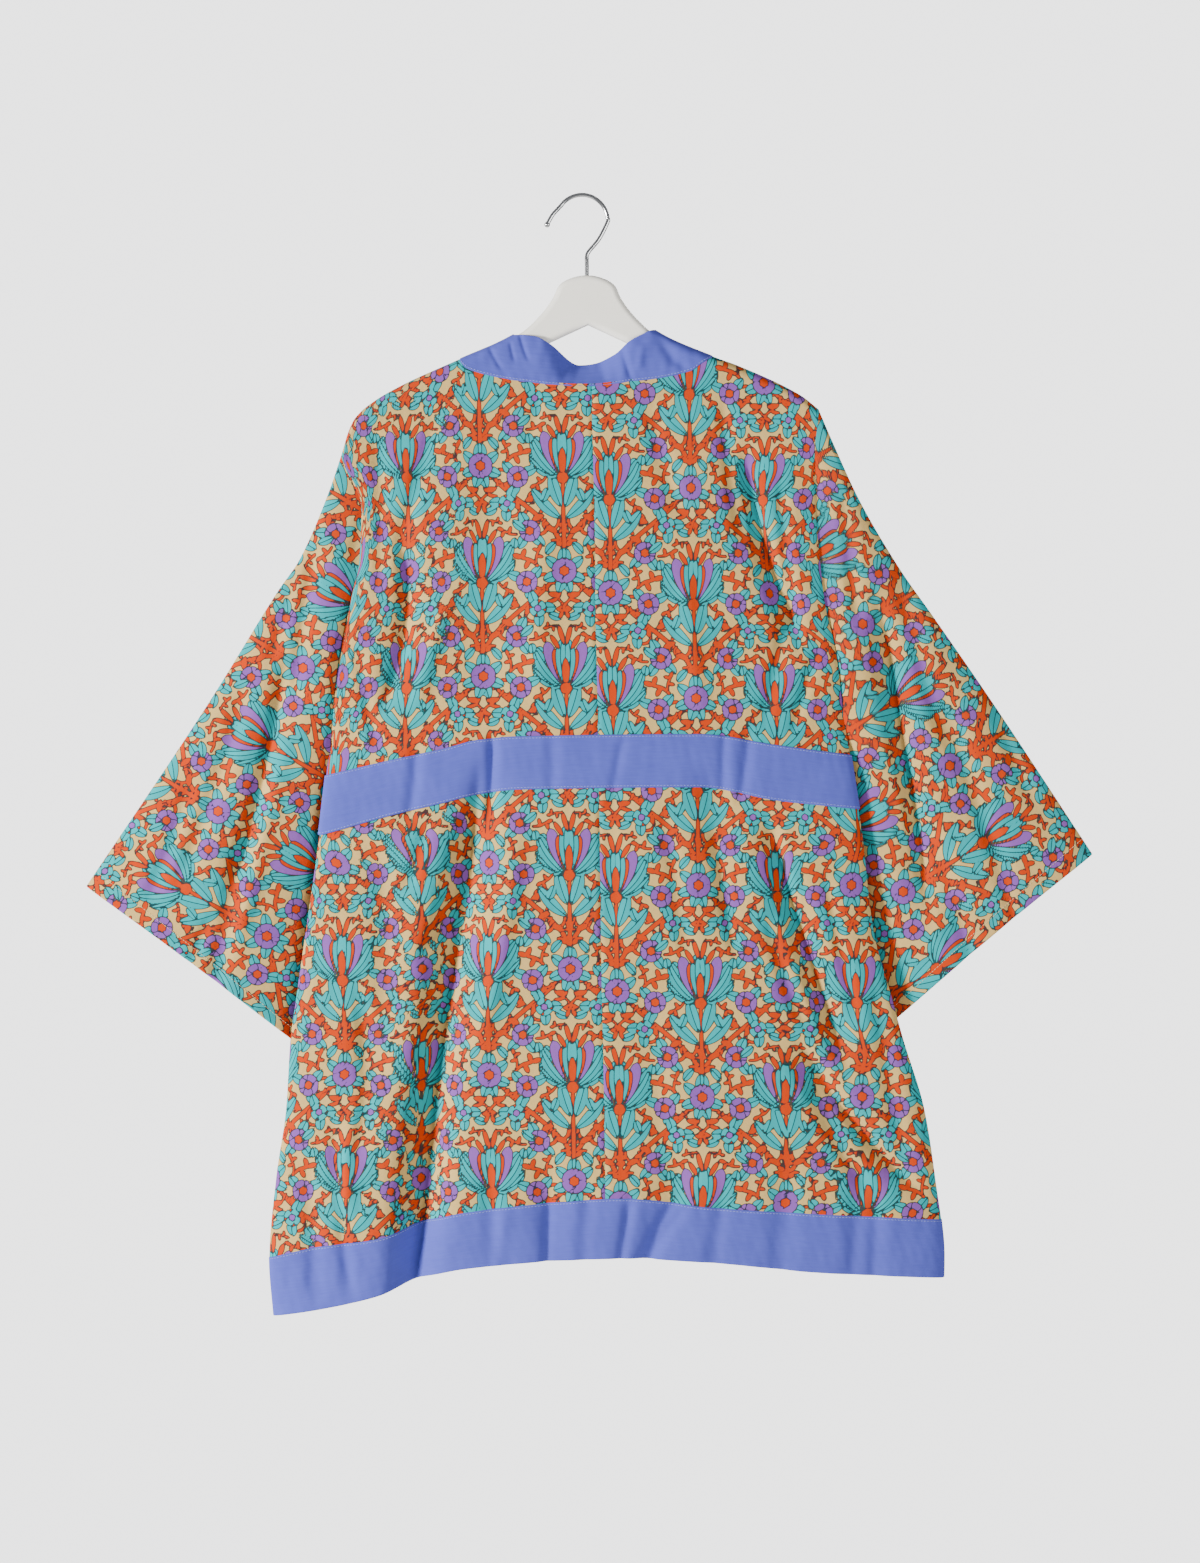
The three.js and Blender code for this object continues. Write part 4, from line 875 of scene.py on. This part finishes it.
def thread_material(name, light, dark):
    material, tree = fresh_material(name)
    place = step(tree, "TexCoord").outputs["Object"]
    twist = step(tree, "TexNoise", {"Vector": place, "Scale": 1500.0, "Detail": 2.0})
    tone = step(tree, "Mix", {0: twist, 6: linear(light), 7: linear(dark)}, data_type="RGBA")
    bump = step(tree, "Bump", {"Height": twist, "Strength": 0.3, "Distance": 0.0001})
    thread = step(tree, "BsdfPrincipled", {"Base Color": tone.outputs[2], "Roughness": 0.5, "Normal": bump})
    step(tree, "OutputMaterial", {"Surface": thread})
    return material


def sew(name, lines, material):
    """A row of stitches along each line of points, as one mesh. Each line comes with its outward normals."""
    verts, faces = [], []
    sides, rounds = THREAD_SIDES, 5
    a = np.arange(sides) / sides * 2 * math.pi
    lift = THREAD_THICK * np.array([-0.25, 0.3, 0.42, 0.3, -0.25])
    thick = THREAD_THICK / 2 * np.array([0.35, 0.95, 1.0, 0.95, 0.35])
    skin = [(r * sides + k, r * sides + (k + 1) % sides, (r + 1) * sides + (k + 1) % sides, (r + 1) * sides + k)
            for r in range(rounds - 1) for k in range(sides)]
    skin += [range(sides)[::-1], range((rounds - 1) * sides, rounds * sides)]
    for path, out in lines:
        run = lengths(path[None], 1)[0]
        for start in np.arange(FIRST_STITCH, run[-1] - STITCH, STITCH + STITCH_GAP):
            at = start + STITCH * np.array([0, 0.18, 0.5, 0.82, 1])
            spot, up = [np.stack([np.interp(at, run, line[:, k]) for k in range(3)], -1) for line in (path, out)]
            along = spot[-1] - spot[0]
            wide = np.cross(along, up)
            wide /= np.linalg.norm(wide, axis=-1, keepdims=True)
            rings = (spot + up * lift[:, None])[:, None] + thick[:, None, None] * (
                wide[:, None] * np.cos(a)[None, :, None] + up[:, None] * np.sin(a)[None, :, None])
            faces += [[len(verts) * rounds * sides + corner for corner in face] for face in skin]
            verts.append(rings.reshape(-1, 3))
    riding_piece(name, np.concatenate(verts), faces, material)


def line_along(face, upper):
    """A line on a band's face, a little in from its upper or lower edge, and the face's normals there."""
    run = lengths(face, 1)
    want = run[:, -1] - FROM_EDGE if upper else np.full(len(face), FROM_EDGE)
    return [np.stack([[np.interp(w, r, row[:, k]) for w, r, row in zip(want, run, grid)] for k in range(3)], -1)
            for grid in (face, normals_of(face))]


BLUE_THREAD = thread_material("blue_sewing_thread", "8089CE", "9AA3E2")
SAND_THREAD = thread_material("sand_sewing_thread", "C3B08A", "DCCBA6")
sew("stitches_waist", [line_along(waist_face, True), line_along(waist_face, False)], BLUE_THREAD)
sew("stitches_hem", [line_along(hem_face, True)], BLUE_THREAD)
sew("stitches_neck", [line_along(neck_face, False)], BLUE_THREAD)
row = int(SLEEVE_ROWS * (1 - CUFF_HEM / SLEEVE_LONG))
cuff_lines = [(tube[row], sign * normals_of(tube, True)[row]) for tube, (_, sign) in zip(sleeve_cuffs, SIDES)]
sew("stitches_cuffs", cuff_lines, SAND_THREAD)

# Hanger, sawn from a board, rounded along its edges and sprayed in warm white satin paint. The robe's shoulders lie
# on its arms.

WOOD_THICK, WOOD_EDGE = 12, 5
WOOD_CENTRE, WOOD_TOP = 3.5, -71
ARM_LEFT, ARM_RIGHT, ARM_DROP, ARM_INSET, ARM_ROUND = -201, 204, 7, 8, 3
ARM_PLACES = [85, 110, 138, 165, 190]
NECK_OF_WOOD = [(14, -73.5), (25, -80), (31, -92), (42, -107), (60, -123.5)]
APEX, ARM_SLOPE, UNDER_CLOTH = (4.5, -116), math.radians(25), 2.0


def satin_paint():
    """Sprayed satin paint: nearly even, faint brush-like streaks of the wood below and a soft gloss."""
    material, tree = fresh_material("white_satin_paint")
    place = step(tree, "TexCoord").outputs["Object"]
    drawn_out = step(tree, "VectorMath", {0: place, 1: (0.12, 1.0, 1.0)}, operation="MULTIPLY")
    grain = step(tree, "TexNoise", {"Vector": drawn_out, "Scale": 260.0, "Detail": 4.0})
    dull = step(tree, "TexNoise", {"Vector": place, "Scale": 40.0, "Detail": 3.0})
    tone = step(tree, "Mix", {0: grain, 6: linear("FDFCF6"), 7: linear("F8F6EE")}, data_type="RGBA")
    rough = step(tree, "MapRange", {0: dull, 3: 0.34, 4: 0.46})
    bump = step(tree, "Bump", {"Height": grain, "Strength": 0.12, "Distance": 0.0003})
    paint = step(tree, "BsdfPrincipled", {"Base Color": tone.outputs[2], "Roughness": rough,
                 "IOR": 1.5, "Normal": bump})
    step(tree, "OutputMaterial", {"Surface": paint})
    return material


def arm_top(place):
    slope = float(shoulder_line(place + 1) - shoulder_line(place - 1)) / 2
    return place, float(shoulder_line(place)) - UNDER_CLOTH * math.hypot(1, slope)


left_end, right_end = arm_top(ARM_LEFT + ARM_ROUND), arm_top(ARM_RIGHT - ARM_ROUND)
top_points = [left_end] + [arm_top(-place) for place in reversed(ARM_PLACES)]
top_points += [(WOOD_CENTRE - wide, high) for wide, high in reversed(NECK_OF_WOOD)] + [(WOOD_CENTRE, WOOD_TOP)]
top_points += [(WOOD_CENTRE + wide, high) for wide, high in NECK_OF_WOOD]
top_points += [arm_top(place) for place in ARM_PLACES] + [right_end]
outline = [tuple(place) for place in stem(top_points, 1, 1, 8)[0]]


def under(place):
    return place, APEX[1] - abs(place - APEX[0]) * math.tan(ARM_SLOPE)


outline += [(ARM_RIGHT, right_end[1] - ARM_DROP)]
outline += [under(place) for place in np.linspace(ARM_RIGHT - ARM_INSET, APEX[0], 12)]
outline += [under(place) for place in np.linspace(APEX[0], ARM_LEFT + ARM_INSET, 12)[1:]]
outline += [(ARM_LEFT, left_end[1] - ARM_DROP)]
wood_curve = bpy.data.curves.new("hanger_wood_painted", "CURVE")
wood_curve.dimensions = "2D"
wood_curve.fill_mode = "BOTH"
wood_curve.extrude = (WOOD_THICK / 2 - WOOD_EDGE) * MM
wood_curve.bevel_depth = WOOD_EDGE * MM
wood_curve.offset = -WOOD_EDGE * MM
wood_curve.bevel_resolution = 5
spline = wood_curve.splines.new("POLY")
spline.points.add(len(outline) - 1)
for point, (across, high) in zip(spline.points, outline):
    point.co = (across * MM, high * MM, 0, 1)
spline.use_cyclic_u = True
flat_wood = placed("wood_outline", wood_curve)
wood_mesh = bpy.data.meshes.new_from_object(flat_wood.evaluated_get(bpy.context.evaluated_depsgraph_get()))
bpy.data.objects.remove(flat_wood)
spots = np.empty(len(wood_mesh.vertices) * 3)
wood_mesh.vertices.foreach_get("co", spots)
spots = spots.reshape(-1, 3)
wood_mesh.vertices.foreach_set("co", np.stack((spots[:, 0], -spots[:, 2], spots[:, 1]), -1).ravel())
wood_mesh.shade_smooth()
wood_mesh.materials.clear()
wood_mesh.materials.append(satin_paint())
wood = placed("hanger_wood_painted", wood_mesh)
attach(wood, "root")
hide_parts("hanger_wood")

# Hook, bent from chromed steel wire, with a small ball at its open end. Its stem is pressed into the wood's top.

WIRE, WIRE_SIDES = 3.8, 16
BOW_CENTRE, BOW_RADIUS, BOW_ANGLES = (-1, -21.5), 21.5, (145, -10, -7.75)
HOOK_START = [(-32, -24), (-29.8, -20), (-27, -15.5)]
HOOK_STEM = [(14.5, -38), (5.5, -49), (WOOD_CENTRE, -54), (WOOD_CENTRE, -62), (WOOD_CENTRE, WOOD_TOP - 12)]
TIP_BALL = (-32.4, -25, 2.6)


def chromed_steel():
    """Chromed steel wire, drawn: bright, with slight uneven dulling."""
    material, tree = fresh_material("chromed_steel")
    place = step(tree, "TexCoord").outputs["Object"]
    dull = step(tree, "TexNoise", {"Vector": place, "Scale": 180.0, "Detail": 4.0})
    tone = step(tree, "Mix", {0: dull, 6: linear("C9CBCE"), 7: linear("B4B7BC")}, data_type="RGBA")
    rough = step(tree, "MapRange", {0: dull, 3: 0.12, 4: 0.26})
    chrome = step(tree, "BsdfPrincipled", {"Base Color": tone.outputs[2], "Metallic": 1.0, "Roughness": rough})
    step(tree, "OutputMaterial", {"Surface": chrome})
    return material


CHROME = chromed_steel()
bow = BOW_RADIUS + WIRE / 2
hook_points = HOOK_START + [(BOW_CENTRE[0] + bow * math.cos(a), BOW_CENTRE[1] + bow * math.sin(a))
                            for a in np.radians(np.arange(*BOW_ANGLES))] + HOOK_STEM
path = stem(hook_points, 1, 1, 5)[0]
grade = np.gradient(path, axis=0)
grade /= np.linalg.norm(grade, axis=1, keepdims=True)
a = np.arange(WIRE_SIDES) / WIRE_SIDES * 2 * math.pi
rings = np.stack((path[:, :1] - grade[:, 1:] * np.cos(a) * WIRE / 2, 0 * path[:, :1] + np.sin(a) * WIRE / 2,
                  path[:, 1:] + grade[:, :1] * np.cos(a) * WIRE / 2), -1)
hook = cloth_piece("hook_wire", rings, CHROME, ring=True)
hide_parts("hanger_hook")
theta = np.linspace(0, math.pi, 17)[:, None]
phi = np.arange(24) / 24 * 2 * math.pi
ball_x, ball_z, ball_half = TIP_BALL
ball_points = np.stack((ball_x + ball_half * np.sin(theta) * np.cos(phi), ball_half * np.sin(theta) * np.sin(phi),
                        ball_z - ball_half * np.cos(theta) + 0 * phi), -1)
ball = cloth_piece("hook_tip_ball", ball_points, CHROME, ring=True)
